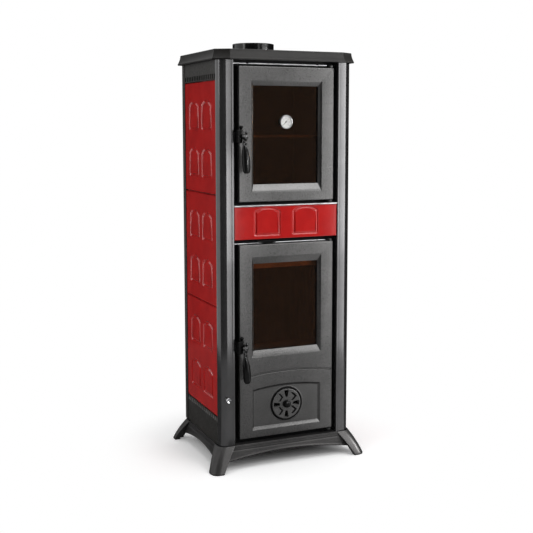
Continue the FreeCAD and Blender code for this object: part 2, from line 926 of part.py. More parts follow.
def back_panel():
    """Rear sheet with side returns and vent slots."""
    sheet = size("sheet")
    face = half_width - size("side_inset") + sheet
    inner = half_depth - size("back_return")
    profile = [
        (-face, half_depth), (-face, inner), (-face + sheet, inner),
        (-face + sheet, half_depth - sheet), (face - sheet, half_depth - sheet),
        (face - sheet, inner), (face, inner), (face, half_depth),
    ]
    body = new_body("back_panel")
    pad(body, "XY", [profile], base_top, body_top)
    pitch = size("back_slot_pitch")
    wide = size("back_slot_length") / 2
    high_row = body_top - size("back_slot_drop")
    for share in slot_shares:
        x = size("back_slot_spacing") * share
        for low in (base_top + size("lower_panel_height"), high_row):
            loop = rectangle(x - wide, x + wide, low, low + size("back_slot_height"))
            slot = pocket(body, "XZ", [loop], -half_depth - overrun, -half_depth + overrun)
            repeat(body, slot, "V_Axis", pitch, size("back_slot_count"))


def top_plate():
    """Cast lid whose skirt flares outwards over the body."""
    reach = size("plate_overhang")
    body = new_body("top_plate")
    corner = size("plate_corner")
    back_corner = size("plate_back_corner")
    cove_low = plate_low + size("plate_band_height")
    cove_high = cove_low + size("plate_cove_height")
    step = size("plate_band_step")
    shrink = step + size("plate_cove_height") * math.tan(math.radians(float(size("plate_cove_deg"))))
    stages = ((ZERO, plate_low, cove_low, ZERO),
              (step, cove_low, cove_high, size("plate_cove_deg")),
              (shrink, cove_high, plate_top, size("plate_neck_deg")))
    for inset, low, high, slope in stages:
        outline = rounded(half_width + reach - inset, half_depth + reach - inset,
                          corner - inset, back_corner - inset)
        feature = pad(body, "XY", [outline], low, high)
        bind(feature, "TaperAngle", -slope)
    fit = size("plate_fit")
    inner = rounded(half_width + fit, half_depth + fit, size("corner_radius"),
                    size("plate_inner_corner"))
    pocket(body, "XY", [inner], plate_low - overrun, body_top)
    pocket(body, "XY", [(ZERO, flue_y, size("flue_bore") / 2 - size("flue_seat_lip"))],
           body_top - overrun, plate_top + overrun)


def flue_spigot():
    """Turned collar that takes the stove pipe."""
    inner = size("flue_bore") / 2
    outer = inner + size("flue_wall")
    flange = outer + size("flue_flange_width")
    thick = size("flue_flange_thick")
    height = size("flue_height")
    body = new_body("flue_spigot")
    turn(body, [(inner, ZERO), (flange, ZERO), (flange, thick), (outer, thick),
                (outer, height), (inner, height)], ZERO, flue_y, plate_top)


def front_plate():
    """Steel front frame with the oven, fire and ash openings."""
    reach = column_inner + size("front_plate_reach")
    half = fire_opening_half
    loops = [
        rectangle(-reach, reach, base_top, body_top),
        rectangle(-half, half, oven_opening_low, oven_opening_high),
        rectangle(-half, half, fire_opening_low, fire_opening_high),
        rectangle(-half, half, ash_opening_low, ash_opening_high),
    ]
    pitch = size("air_hole_pitch")
    port = size("air_hole") / 2
    for step in (-2, -1, 0, 1, 2):
        loops.append(rectangle(pitch * step - port, pitch * step + port,
                               air_hole_height - port, air_hole_height + port))
    slot_half = size("lever_arm_width") / 2 + size("lever_travel") + size("lever_fit")
    slot_low = lever_height - size("lever_arm_thick") / 2 - size("lever_fit")
    slot_high = lever_height + size("lever_arm_thick") / 2 + size("lever_fit")
    centre = size("lever_centre")
    loops.append(rectangle(centre - slot_half, centre + slot_half, slot_low, slot_high))
    body = new_body("front_plate")
    pad(body, "XZ", loops, -frame_back, -frame_front)
    # rails that carry the secondary air slide
    plate_half = size("slide_plate_half") + size("lever_travel") + size("slide_rail")
    lip = size("slide_plate_thick") + size("slide_fit") * 2
    for sign in (-1, 1):
        edge = slide_middle + sign * (size("slide_plate_height") / 2 + size("slide_fit"))
        outer = edge + sign * size("sheet")
        inner = edge - sign * size("slide_rail") / 2
        low, high = (outer, edge) if sign < 0 else (edge, outer)
        pad(body, "XZ", [rectangle(-plate_half, plate_half, low, high)],
            -frame_back - lip - size("sheet"), -frame_back)
        low, high = (edge, inner) if sign < 0 else (inner, edge)
        pad(body, "XZ", [rectangle(-plate_half, plate_half, low, high)],
            -frame_back - lip - size("sheet"), -frame_back - lip)


def air_lever():
    """Lens-shaped tab, its arm through the front plate, and the slide behind."""
    centre = size("lever_centre")
    half = size("lever_length") / 2
    tall = size("lever_tab_height")
    middle = lever_height
    tab_front = front + size("lever_recess")
    tab_back = tab_front + size("lever_tab_thick")
    body = new_body("air_lever")
    lens = [(centre - half, middle, half * 2, tall / 2), (centre + half, middle, half * 2, tall / 2)]
    pad(body, "XZ", [lens], -tab_back, -tab_front)
    arm = size("lever_arm_width") / 2
    thick = size("lever_arm_thick") / 2
    pad(body, "XZ", [rectangle(centre - arm, centre + arm, middle - thick, middle + thick)],
        -frame_back - size("slide_fit"), -tab_back)

    body = new_body("air_slide")
    plate_half = size("slide_plate_half")
    low = slide_middle - size("slide_plate_height") / 2
    high = slide_middle + size("slide_plate_height") / 2
    loops = [rectangle(-plate_half, plate_half, low, high)]
    port = size("air_hole") / 2
    pitch = size("air_hole_pitch")
    for step in (-2, -1, 0, 1, 2):
        loops.append(rectangle(pitch * step - port, pitch * step + port,
                               air_hole_height - port, air_hole_height + port))
    pad(body, "XZ", loops, -frame_back - size("slide_fit") - size("slide_plate_thick"),
        -frame_back - size("slide_fit"))


def vent_strips():
    """Bright slotted strips above each door, each in three stretches."""
    notch = size("vent_notch") / 2
    stretches = ((strip_left, vent_notch_left - notch),
                 (vent_notch_left + notch, vent_notch_right - notch),
                 (vent_notch_right + notch, strip_right))
    stand = size("vent_strip_stand")
    thick = size("vent_strip_thick")
    lower_high = lever_height - size("lever_arm_thick") / 2 - size("lever_fit")
    strips = []
    for low, high in ((upper_strip_low, upper_strip_low + size("vent_strip_height")),
                      (lower_strip_low, lower_high)):
        shelf = box((strip_left, strip_right), (frame_front - stand, frame_front),
                    (low, low + thick))
        lips = [box((left, right), (frame_front - stand - thick, frame_front - stand),
                    (low, high)) for left, right in stretches]
        strips.append(fuse(shelf, *lips))
    keep(group(*strips), "vent_strips")


def arch_loop(x, z, inset):
    """Outline of one shouldered arch standing on (x, z), drawn in by an inset."""
    half = size("arch_width") / 2 - inset
    shoulder = size("arch_shoulder") - inset
    cheek = size("arch_width") / 2 - size("arch_cheek_width")
    peak = size("arch_peak") - size("arch_crown_rise") - inset
    return [
        (x - half, z + inset), (x + half, z + inset), (x + half, z + shoulder),
        (x + cheek, z + peak, cheek * 2, size("arch_crown_rise")),
        (x - cheek, z + peak), (x - half, z + shoulder),
    ]


def tile(label, plane, low_a, high_a, low_z, high_z, start, end, arches, outward):
    """Glazed tile: a plate with bevelled rim and shouldered arches scored in its face."""
    body = new_body(label)
    pad(body, plane, [rectangle(low_a, high_a, low_z, high_z)], start, end)
    face = end if outward > 0 else start
    axis = "x" if plane == "YZ" else "y"
    sign = 1 if plane == "YZ" else -1

    def on_face(edge):
        low = getattr(edge.BoundBox, axis.upper() + "Min")
        high = getattr(edge.BoundBox, axis.upper() + "Max")
        return at(low, sign * float(face)) and at(high, sign * float(face))

    bevel_edges(body, size("tile_edge_bevel"), on_face)
    depth = size("arch_depth")
    low, high = (end - depth, end + overrun) if outward > 0 else (start - overrun, start + depth)
    for x, z in arches:
        loops = [arch_loop(x, z, ZERO), arch_loop(x, z, size("arch_line"))]
        pocket(body, plane, loops, low, high)


def side_tiles():
    low = base_top + size("lower_panel_height") + size("tile_fit")
    high = body_top - size("upper_panel_height") - size("tile_fit")
    gap = size("tile_gap")
    height = (high - low - gap * 2) / 3
    start = front + size("column_side") + size("tile_fit")
    end = half_depth - size("back_return") - size("tile_fit")
    middle = (start + end) / 2
    face = half_width - size("side_inset")
    back = face - size("tile_thick")
    for side, word in ((-1, "left"), (1, "right")):
        for row, name in enumerate(("bottom", "middle", "top")):
            base = low + (height + gap) * row
            arches = []
            for step in (-1, 1):
                for line in (0, 1):
                    arches.append((middle + size("arch_column_pitch") / 2 * step,
                                   base + size("arch_foot_gap") + size("arch_row_pitch") * line))
            near, far = (-face, -back) if side < 0 else (back, face)
            tile("side_tile_%s_%s" % (word, name), "YZ", start, end, base, base + height,
                 near, far, arches, side)


def front_band():
    """Red tile between the doors, in a steel carrier with a bright upper rim."""
    half = column_inner - size("tile_fit")
    low = band_low
    high = band_high
    face = front + size("band_recess")
    back = face + size("tile_thick")
    pitch = size("band_arch_pitch") / 2
    foot = low + size("band_arch_foot")
    tile("front_tile", "XZ", -half, half, low, high, -back, -face,
         [(-pitch, foot), (pitch, foot)], 1)
    body = new_body("front_tile_carrier")
    sheet = size("sheet")
    trim_front = face - size("band_trim_proud")
    rim = high + size("tile_fit")
    profile = [
        (frame_front, low), (frame_front, rim + size("band_trim_height")),
        (trim_front, rim + size("band_trim_height")), (trim_front, rim),
        (back, rim), (back, low), (back + sheet, low), (back + sheet, rim),
        (frame_front - sheet, rim), (frame_front - sheet, low),
    ]
    pad(body, "YZ", [profile], -half, half)


def door_frame(label, low, high, bevel_low, bevel_high, window_low, window_high):
    """Cast door with a bevelled window and a glass rebate at the back."""
    half = door_half
    window = window_half
    bevel = bevel_half
    body = new_body(label)
    pad(body, "XZ", [rectangle(-half, half, low, high),
                     rectangle(-window, window, window_low, window_high)], -door_back, -front)
    outer = draw(body, "XZ", [rectangle(-bevel, bevel, bevel_low, bevel_high)], -front)
    inner = draw(body, "XZ", [rectangle(-window, window, window_low, window_high)],
                 -front - size("bevel_depth"))
    funnel = body.newObject("PartDesign::SubtractiveLoft", "Bevel")
    funnel.Profile = outer
    funnel.Sections = [inner]
    funnel.Ruled = True
    body.Tip = funnel
    lap = size("glass_lap")
    pocket(body, "XZ", [rectangle(-window - lap, window + lap, window_low - lap, window_high + lap)],
           -door_back - overrun, -glass_front)

    def front_rim(edge):
        box_of = edge.BoundBox
        on_front = at(box_of.YMin, front) and at(box_of.YMax, front)
        wide = at(abs(box_of.XMin), half) and at(abs(box_of.XMax), half)
        return on_front and wide

    round_edges(body, size("door_front_round"), front_rim)
    handle_x = -half + size("handle_inset")
    return body, handle_x


def bore_for_spindle(body, x, z, radius):
    pocket(body, "XZ", [(x, z, radius)], -door_back - overrun, -front + overrun)


def bore_for_pins(body, x, low, high):
    """Blind holes for the hinge pins in a door's top and bottom edges."""
    seat = size("hinge_pin_seat")
    radius = size("hinge_pin") / 2
    hinge_y = front + size("door_thick") / 2
    for start, end in ((low - overrun, low + seat), (high - seat, high + overrun)):
        pocket(body, "XY", [(x, hinge_y, radius)], start, end)


def oven_door():
    low, high = oven_door_low, oven_door_high
    body, handle_x = door_frame(
        "oven_door_frame", low, high, oven_bevel_low, oven_bevel_high,
        oven_window_low, oven_window_high)
    bore_for_spindle(body, handle_x, oven_handle_height,
                     size("spindle") / 2 + size("spindle_fit"))
    bore_for_pins(body, door_half - size("hinge_inset"), low, high)
    door_fittings("oven", low, high, oven_window_low, oven_window_high,
                  [(ZERO, dial_height, size("dial_stem") / 2 + size("dial_stem_fit"))])
    thermometer()
    handle("oven", handle_x, oven_handle_height)


def fire_door():
    low, high = fire_door_low, fire_door_high
    body, handle_x = door_frame(
        "fire_door_frame", low, high, fire_bevel_low, fire_bevel_high,
        fire_window_low, fire_window_high)
    bore_for_spindle(body, handle_x, fire_handle_height,
                     size("spindle") / 2 + size("spindle_fit"))
    bore_for_pins(body, door_half - size("hinge_inset"), low, high)
    # arched panel set into the lower half
    half = panel_half
    panel = [
        (-half, panel_low), (half, panel_low),
        (half, panel_high, half * 2, size("panel_rise")), (-half, panel_high),
    ]
    depth = size("panel_depth")
    pocket(body, "XZ", [panel], -front - depth, -front + overrun)
    # arched line scored across the whole door
    edge = door_half + overrun
    line = size("groove_width") / 2
    level = groove_high
    rise = size("groove_rise")
    groove = [
        (-edge, level - line, edge * 2, -rise), (edge, level - line),
        (edge, level + line, edge * 2, rise), (-edge, level + line),
    ]
    pocket(body, "XZ", [groove], -front - size("groove_depth"), -front + overrun)
    # seat, ports and bolt of the air register
    centre = register_height
    seat = front + depth + size("register_sink")
    pocket(body, "XZ", [(ZERO, centre, size("register_rim"))], -seat, -front + overrun)
    pocket(body, "XZ", port_loops(centre), -door_back - overrun, -front + overrun)
    bolt_end = seat - size("register_fit") - size("register_thick") - size("register_hub_height")
    pad(body, "XZ", [(ZERO, centre, size("register_bolt") / 2)], -seat, -bolt_end)
    door_fittings("fire", low, high, fire_window_low, fire_window_high, [])
    register(centre, seat)
    handle("fire", handle_x, fire_handle_height)


def port_loops(centre):
    """Four ring segments, above, below, left and right of the centre."""
    inner = size("port_inner")
    outer = size("port_outer")
    half = math.radians(SHEET.get("port_angle_deg")) / 2
    loops = []
    for turn_deg in (0, 90, 180, 270):
        middle = math.radians(turn_deg)
        a, b = middle - half, middle + half
        chord = 2 * math.sin(half)
        rise = 1 - math.cos(half)
        loops.append([
            (inner * math.cos(a), centre + inner * math.sin(a)),
            (outer * math.cos(a), centre + outer * math.sin(a), outer * chord, outer * rise),
            (outer * math.cos(b), centre + outer * math.sin(b)),
            (inner * math.cos(b), centre + inner * math.sin(b), inner * chord, inner * rise * -1),
        ])
    return loops


def register(centre, seat):
    """Round air register: a ported disc with a turning hub."""
    back = seat - size("register_fit")
    face = back - size("register_thick")
    bore = size("register_bolt") / 2 + size("register_bolt_fit")
    body = new_body("register_disc")
    pad(body, "XZ", [(ZERO, centre, size("register_radius"))], -back, -face)
    pad(body, "XZ", [corners_round(ZERO, centre, size("register_hub"))], -face,
        -face + size("register_hub_height"))
    pocket(body, "XZ", [(ZERO, centre, bore)], -seat - overrun,
           -face + size("register_hub_height") + overrun)
    pocket(body, "XZ", port_loops(centre), -seat - overrun, -face + overrun)
    spot = size("diamond_reach") * math.sqrt(0.5)
    wide = size("diamond_half_width")
    tall = size("diamond_half_height")
    for sign_x in (-1, 1):
        for sign_z in (-1, 1):
            x = spot * sign_x
            z = centre + spot * sign_z
            loop = [(x, z - tall), (x + wide, z), (x, z + tall), (x - wide, z)]
            pocket(body, "XZ", [loop], -face - size("diamond_depth"), -face + overrun)


def door_fittings(word, low, high, window_low, window_high, holes):
    """Glass, its retaining strips, the rope seal and the hinge pins of one door."""
    window = window_half
    lap = size("glass_lap") - size("glass_fit")
    body = new_body(word + "_door_glass")
    pad(body, "XZ", [rectangle(-window - lap, window + lap, window_low - lap, window_high + lap)]
        + holes, -door_back, -glass_front)
    grip = window + size("glass_lap") + size("retainer_grip")
    lower = window_low - size("glass_lap") - size("retainer_grip")
    upper = window_high + size("glass_lap") + size("retainer_grip")
    inner = window + size("glass_lap") - size("retainer_lap")
    inner_low = window_low - size("glass_lap") + size("retainer_lap")
    inner_high = window_high + size("glass_lap") - size("retainer_lap")
    strips = (
        ((-grip, grip), (inner_high, upper)), ((-grip, grip), (lower, inner_low)),
        ((-grip, -inner), (inner_low, inner_high)), ((inner, grip), (inner_low, inner_high)),
    )
    thick = (door_back, door_back + size("retainer_thick"))
    keep(group(*[box(x, thick, z) for x, z in strips]), word + "_glass_retainers")

    body = new_body(word + "_door_seal")
    margin = size("seal_margin")
    wide = size("seal_width")
    half = fire_opening_half + margin
    if word == "fire":
        seal_low, seal_high = ash_opening_low - margin, fire_opening_high + margin
    else:
        seal_low, seal_high = oven_opening_low - margin, oven_opening_high + margin
    pad(body, "XZ", [rectangle(-half - wide, half + wide, seal_low - wide, seal_high + wide),
                     rectangle(-half, half, seal_low, seal_high)],
        -frame_front + size("seal_gap"), -door_back)

    radius = size("hinge_pin") / 2
    x = door_half - size("hinge_inset")
    y = front + size("door_thick") / 2
    length = size("hinge_pin_seat") + size("hinge_pin_reach")
    keep(group(rod("z", radius, length, x, y, low - size("hinge_pin_reach")),
               rod("z", radius, length, x, y, high - size("hinge_pin_seat"))),
         word + "_hinge_pins")


def thermometer():
    """Dial thermometer clamped through the oven glass, with a free needle."""
    z = dial_height
    radius = size("dial_radius")
    wall = size("dial_case_wall")
    depth = size("dial_case_depth")
    stem = size("dial_stem") / 2
    floor = size("dial_thick")
    face = glass_front
    inner = radius - wall
    pin = size("needle_hub") / 2
    case = facet([(stem, -size("dial_stem_length")), (stem, ZERO), (radius, ZERO), (radius, depth)],
                 ZERO, face, z, "y")
    hollow = facet([(inner, floor * 2), (inner, depth + overrun)], ZERO, face, z, "y")
    keep(cut(case, hollow), "thermometer_case")
    dial = facet([(inner, floor * 2), (inner, floor * 3), (pin, floor * 3),
                  (pin, floor * 3 + size("needle_gap") * 2 + size("needle_thick"))],
                 ZERO, face, z, "y")
    keep(dial, "thermometer_dial")
    lens_back = depth - size("dial_lens") - size("dial_lens_inset")
    lens = facet([(inner, lens_back), (inner, lens_back + size("dial_lens"))], ZERO, face, z, "y")
    keep(lens, "thermometer_lens")
    body = new_body("thermometer_needle")
    near = face - floor * 3 - size("needle_gap")
    wide = size("needle_width") / 2
    hub = size("needle_hub")
    tail = -size("needle_tail")
    tip = size("needle_length")
    pad(body, "XZ", [[(-wide, tail), (wide, tail), (wide, ZERO), (wide / 3, tip),
                      (-wide / 3, tip), (-wide, ZERO)]], -near, -near + size("needle_thick"))
    pad(body, "XZ", [corners_round(ZERO, ZERO, hub)], -near, -near + size("needle_thick"))
    pocket(body, "XZ", [(ZERO, ZERO, pin + size("spindle_fit"))], -near - overrun, -near + overrun)
    rest = -SHEET.get("needle_rest_deg")
    body.Placement = FreeCAD.Placement(Vector(), FreeCAD.Rotation(Vector(0, 1, 0), rest))
    bind(body, ".Placement.Base.z", z)


def handle(word, x, z):
    """Latch handle: spindle, hub, tail, link and hanging grip, with its cam inside."""
    hub_back = front - size("handle_gap")
    hub_front = hub_back - size("hub_height")
    grip_y = front - size("grip_stand")
    cam_front = door_back + size("cam_gap")
    spindle = rod("y", size("spindle") / 2, cam_front - hub_front, x, hub_front, z)
    hub = facet([(size("hub_radius"), ZERO), (size("hub_radius"), size("hub_height"))],
                x, hub_back, z, "y")
    neck = facet([(size("link_radius"), ZERO), (size("link_radius"), hub_front - grip_y)],
                 x, hub_front, z, "y")
    block_back = hub_back - size("tail_gap")
    block_x = x - size("hub_radius") + size("tail_lap")
    block = box((x - size("tail_reach"), block_x), (block_back - size("tail_thick"), block_back),
                (z - size("tail_height") / 2, z + size("tail_height") / 2))
    stem_y = block_back - size("tail_thick") / 2
    stem_x = block_x - size("knuckle_radius")
    rise = size("knuckle_rise")
    ball = size("knuckle_radius")
    slim = size("link_radius")
    stem = facet([(ball, ZERO), (slim, rise), (slim, rise + ball * 0.3), (ball, rise + ball * 0.7),
                  (ball, rise + ball * 1.3), (slim, rise + ball * 2)], stem_x, stem_y, z)
    drop = size("link_drop")
    bulge = slim * link_bulge_share
    link = facet([(slim, -drop), (bulge, -drop * 0.75), (slim, -drop * 0.5), (bulge, -drop * 0.25),
                  (slim, ZERO), (slim, slim * 2)], x, grip_y, z)
    keep(fuse(spindle, hub, neck, block, stem, link), word + "_handle_lever")

    length = size("grip_length")
    collar = size("grip_neck")
    wide = size("grip_radius")
    grip = facet([(wide * 0.45, -length), (wide * 0.82, -length * 0.93), (wide, -length * 0.76),
                  (wide * 0.93, -length * 0.55), (collar * 1.25, -length * 0.15), (collar, ZERO)],
                 x, grip_y, z - drop)
    keep(grip, word + "_handle_grip")

    body = new_body(word + "_latch_cam")
    half = size("cam_width") / 2
    nose = half * cam_nose_share
    tip = x - size("cam_length") + nose
    pad(body, "XZ", [[(tip, z - half), (x, z - half, half * 2, nose), (x, z + half),
                      (tip, z + half, half * 2, nose)]],
        -cam_front - size("cam_thick"), -cam_front)


def hinge_brackets():
    """Four lugs on the front plate that carry the door pins."""
    x = door_half - size("hinge_inset")
    y = front + size("door_thick") / 2
    gap = size("hinge_gap")
    lug = size("hinge_lug")
    hole = size("hinge_pin") / 2 + size("hinge_fit")
    lugs = []
    for low in (oven_door_high + gap, oven_door_low - gap - lug,
                fire_door_high + gap, fire_door_low - gap - lug):
        arm = box((x - size("hinge_lug_round"), x + size("hinge_lug_round")), (y, frame_front),
                  (low, low + lug))
        nose = facet([(size("hinge_lug_round"), ZERO), (size("hinge_lug_round"), lug)], x, y, low)
        drill = rod("z", hole, lug + overrun * 2, x, y, low - overrun)
        lugs.append(cut(fuse(arm, nose), drill))
    keep(group(*lugs), "hinge_brackets")


def latch_strikers():
    """Angle catches on the front plate, one beside each latch cam."""
    handle_x = -door_half + size("handle_inset")
    thick = size("striker_thick")
    outer = handle_x - size("cam_length") - size("cam_gap")
    catches = []
    for z in (oven_handle_height, fire_handle_height):
        reach = (z - size("striker_height") / 2, z + size("striker_height") / 2)
        wall = box((outer - thick, outer), (door_back + size("cam_gap"), frame_front), reach)
        foot = box((outer - thick, outer + size("striker_foot")),
                   (frame_front - thick / 2, frame_front), reach)
        catches.append(fuse(wall, foot))
    keep(group(*catches), "latch_strikers")


def inner_body():
    """Welded inner body: ash space below the hearth, fire and oven space above it."""
    half = inner_half
    wall = size("inner_wall")
    back = inner_back
    low = inner_low
    hearth = hearth_high
    floor = box((-half, half), (frame_back, back), (low, low + wall))
    keep(floor, "ash_floor")
    shell = box((-half, half), (frame_back, back), (low + wall, body_top))
    ash = box((-half + wall, half - wall), (frame_back - overrun, back - wall),
              (low + wall - overrun, hearth - size("hearth_thick")))
    fire = box((-half + wall, half - wall), (frame_back - overrun, back - wall),
               (hearth, body_top + overrun))
    throat = box((-size("grate_half_x"), size("grate_half_x")),
                 (grate_front, grate_back),
                 (hearth - size("hearth_thick") - overrun, hearth + overrun))
    slot_fit = size("slot_fit")
    slot = box((-half - overrun, -half + wall + overrun),
               (arm_back - size("arm_width") - size("riddle_travel") - slot_fit,
                arm_back + slot_fit),
               (rod_height - size("arm_thick") / 2 - slot_fit,
                rod_height + size("arm_thick") / 2 + slot_fit))
    guide_y = guide_front
    recess = (half_width - size("side_inset") - size("tile_thick") - size("tile_fit")
              - size("sheet") - size("guide_gap"))
    eye = box((-recess, -half),
              (guide_y, guide_y + size("guide_thick")),
              (rod_height - size("guide_height") / 2,
               rod_height + size("guide_height") / 2))
    drill = rod("y", size("rod_radius") + size("rod_fit"), size("guide_thick") + overrun * 2,
                -rod_side, guide_y - overrun, rod_height)
    keep(cut(fuse(shell, eye), ash, fire, throat, slot, drill), "inner_body")


def oven():
    """Oven box on the front plate, with its stone, rails and rack."""
    half = oven_half
    wall = size("oven_wall")
    low = oven_low
    high = oven_high
    back = oven_back
    shell = box((-half - wall, half + wall), (frame_back, back), (low - wall, high + wall))
    hollow = box((-half, half), (frame_back - overrun, back - wall), (low, high))
    rails = []
    rack = rack_height
    rail = size("rail_width")
    for sign in (-1, 1):
        ends = (-half, -half + rail) if sign < 0 else (half - rail, half)
        rails.append(box(ends, (frame_back, back - wall), (rack - size("rail_thick"), rack)))
    keep(fuse(cut(shell, hollow), *rails), "oven_box")
    fit = size("oven_stone_fit")
    stone = box((-half + fit, half - fit), (frame_back + fit, back - wall - fit),
                (low, low + size("oven_stone")))
    keep(stone, "oven_stone")
    margin = size("rack_margin")
    wire = size("rack_wire") / 2
    thin = size("rack_rod") / 2
    x = half - margin - wire
    near = frame_back + size("rack_front_gap")
    far = back - wall - margin - wire
    level = rack + wire

    def bar(low_x, high_x, low_y, high_y, low_z):
        return box((low_x, high_x), (low_y, high_y), (low_z, level + wire))

    wires = [
        bar(-x - wire, x + wire, near - wire, near + wire, level - wire),
        bar(-x - wire, x + wire, far - wire, far + wire, level - wire),
        bar(-x - wire, -x + wire, near, far, level - wire),
        bar(x - wire, x + wire, near, far, level - wire),
    ]
    count = int(SHEET.get("rack_rod_count"))
    pitch = x * 2 / (size("rack_rod_count") + 1)
    for index in range(count):
        middle = -x + pitch * (index + 1)
        wires.append(bar(middle - thin, middle + thin, near, far, level + wire - thin * 2))
    keep(fuse(*wires), "oven_rack")


def fluted_slab(label, plane, low_a, high_a, low, high, start, end, first, count, outward):
    """Refractory slab with upright flutes in the face towards the fire."""
    body = new_body(label)
    pad(body, plane, [rectangle(low_a, high_a, low, high)], start, end)
    depth = size("flute_depth")
    cut_low, cut_high = (end - depth, end + overrun) if outward > 0 else (start - overrun,
                                                                        start + depth)
    wide = size("flute_width") / 2
    loop = rectangle(first - wide, first + wide, low - overrun, high + overrun)
    flute = pocket(body, plane, [loop], cut_low, cut_high)
    repeat(body, flute, "H_Axis", size("flute_pitch"), count)


def firebox():
    """Refractory lining, baffle, log guard and air-wash deflector."""
    inner = inner_half - size("inner_wall")
    thick = size("lining_thick")
    fit = size("lining_fit")
    low = hearth_high
    high = lining_high
    back = inner_back - size("inner_wall")
    near = frame_back + fit
    count = size("flute_count")
    middle = (near + back - thick) / 2
    first = middle - size("flute_pitch") * (count - 1) / 2
    for side, word in ((-1, "left"), (1, "right")):
        ends = (-inner, -inner + thick) if side < 0 else (inner - thick, inner)
        fluted_slab("lining_" + word, "YZ", near, back, low, high, ends[0], ends[1],
                    first, count, -side)
    count = size("back_flute_count")
    first = -(size("flute_pitch") * (count - 1) / 2)
    fluted_slab("lining_back", "XZ", -inner + thick, inner - thick, low, high,
                -back, -back + thick, first, count, 1)
    baffle = box((-inner + fit, inner - fit), (frame_back + size("baffle_front_gap"), back),
                 (high, high + size("baffle_thick")))
    keep(baffle, "baffle_plate")

    guard_half = inner - thick
    guard_near = frame_back + size("guard_gap")
    guard = box((-guard_half, guard_half), (guard_near, guard_near + size("guard_thick")),
                (low, guard_high))
    foot = box((-guard_half, guard_half), (guard_near, guard_near + size("guard_foot")),
               (low, low + size("guard_thick")))
    keep(fuse(guard, foot), "log_guard")

    body = new_body("air_wash_deflector")
    sheet = size("deflector_thick")
    lower = deflector_low
    upper = deflector_high
    reach = size("deflector_reach")
    profile = [
        (frame_back, upper + reach), (frame_back, upper + reach * 2),
        (frame_back + sheet, upper + reach * 2), (frame_back + sheet, upper + reach),
        (frame_back + reach, upper), (frame_back + reach, lower),
        (frame_back + reach - sheet, lower), (frame_back + reach - sheet, upper - sheet / 2),
    ]
    half = fire_opening_half
    pad(body, "YZ", [profile], -half, half)


def grate():
    """Fixed grate with hangers, and the riddling grate that slides under it."""
    half = size("grate_half_x")
    near, far = grate_front, grate_back
    flange = size("grate_flange")
    hearth = hearth_high
    thick = size("grate_thick")
    fit = size("riddle_fit")
    drop = hearth - size("hearth_thick") - size("hanger_drop")
    lip = size("hanger_lip")
    hang = size("hanger_thick")
    plate = box((-half - flange, half + flange), (near - flange, far + flange),
                (hearth, hearth + thick))
    well = box((-half + fit, half - fit), (near + fit, far - fit),
               (hearth - size("hearth_thick"), hearth))
    hangers = []
    for sign in (-1, 1):
        outer = half - fit
        web = (-outer, -outer + hang) if sign < 0 else (outer - hang, outer)
        shelf = (-outer, -outer + lip) if sign < 0 else (outer - lip, outer)
        hangers.append(box(web, (near + fit, far - fit), (drop, hearth)))
        hangers.append(box(shelf, (near + fit, far - fit), (drop, drop + hang)))
    slots = []
    count = int(SHEET.get("grate_slot_count"))
    pitch = size("grate_slot_pitch")
    middle = (near + far) / 2
    first = middle - pitch * (size("grate_slot_count") - 1) / 2
    wide = size("grate_slot") / 2
    reach = size("grate_slot_half")
    for index in range(count):
        y = first + pitch * index
        slots.append(box((-reach, reach), (y - wide, y + wide),
                         (hearth - size("hearth_thick") - overrun, hearth + thick + overrun)))
    keep(cut(fuse(plate, well, *hangers), *slots), "grate_frame")

    low = drop + hang + fit
    inner = half - fit - hang - fit
    travel = size("riddle_travel")
    plate = box((-inner, inner), (near + travel + fit * 2, far - fit * 2),
                (low, low + size("riddle_thick")))
    slots = []
    for index in range(2, count):
        y = first + pitch * index
        slots.append(box((-reach, reach), (y - wide, y + wide),
                         (low - overrun, low + size("riddle_thick") + overrun)))
    plate = cut(plate, *slots)
    arm_front = arm_back - size("arm_width")
    level = rod_height
    rise = size("arm_thick") / 2
    post_x = -arm_reach
    post = box((post_x, post_x + size("arm_width")), (arm_front, arm_back), (level - rise, low))
    keep(fuse(plate, post), "riddle_grate")

    side = -rod_side
    start = front - size("rod_front")
    shaft = rod("y", size("rod_radius"), arm_back - start, side, start, level)
    arm = box((side, post_x), (arm_front, arm_back), (level - rise, level + rise))
    keep(fuse(shaft, arm), "riddle_rod")

    radius = size("knob_radius")
    neck = size("knob_neck")
    length = size("knob_length")
    knob = facet([(neck, ZERO), (neck, length * 0.25), (radius * 0.9, length * 0.45),
                  (radius, length * 0.75), (radius * 0.85, length)], side, start, level, "y")
    keep(knob, "riddle_knob")


def ash_pan():
    """Folded drawer pan that stands on the floor of the ash space."""
    half = pan_half
    wall = size("pan_wall")
    near = pan_front
    far = pan_back
    low = inner_low + size("inner_wall")
    high = pan_high
    rim = size("pan_rim")
    shell = box((-half, half), (near, far), (low, high))
    lip = box((-half - rim, half + rim), (near, far + rim), (high - wall, high))
    hollow = box((-half + wall, half - wall), (near + wall, far - wall), (low + wall, high + overrun))
    pull = box((-half / 4, half / 4), (near - wall - rim, near), (high - wall * 3, high - wall * 2))
    keep(fuse(cut(fuse(shell, lip), hollow), pull), "ash_pan")


def screw_places():
    """Centres (x, z) of the screws round the rear panel."""
    edge = half_width - size("screw_edge")
    span = body_top - base_top
    return [(x, base_top + span * share) for x in (-edge, edge) for share in screw_height_shares]


def body_screws():
    """Screw heads that hold the rear panel to the frame."""
    head = size("screw_head") / 2
    tall = size("screw_head_high")
    screws = [facet([(head, -tall), (head, ZERO)], x, half_depth, z, "y", screw_sides)
              for x, z in screw_places()]
    keep(group(*screws), "body_screws")


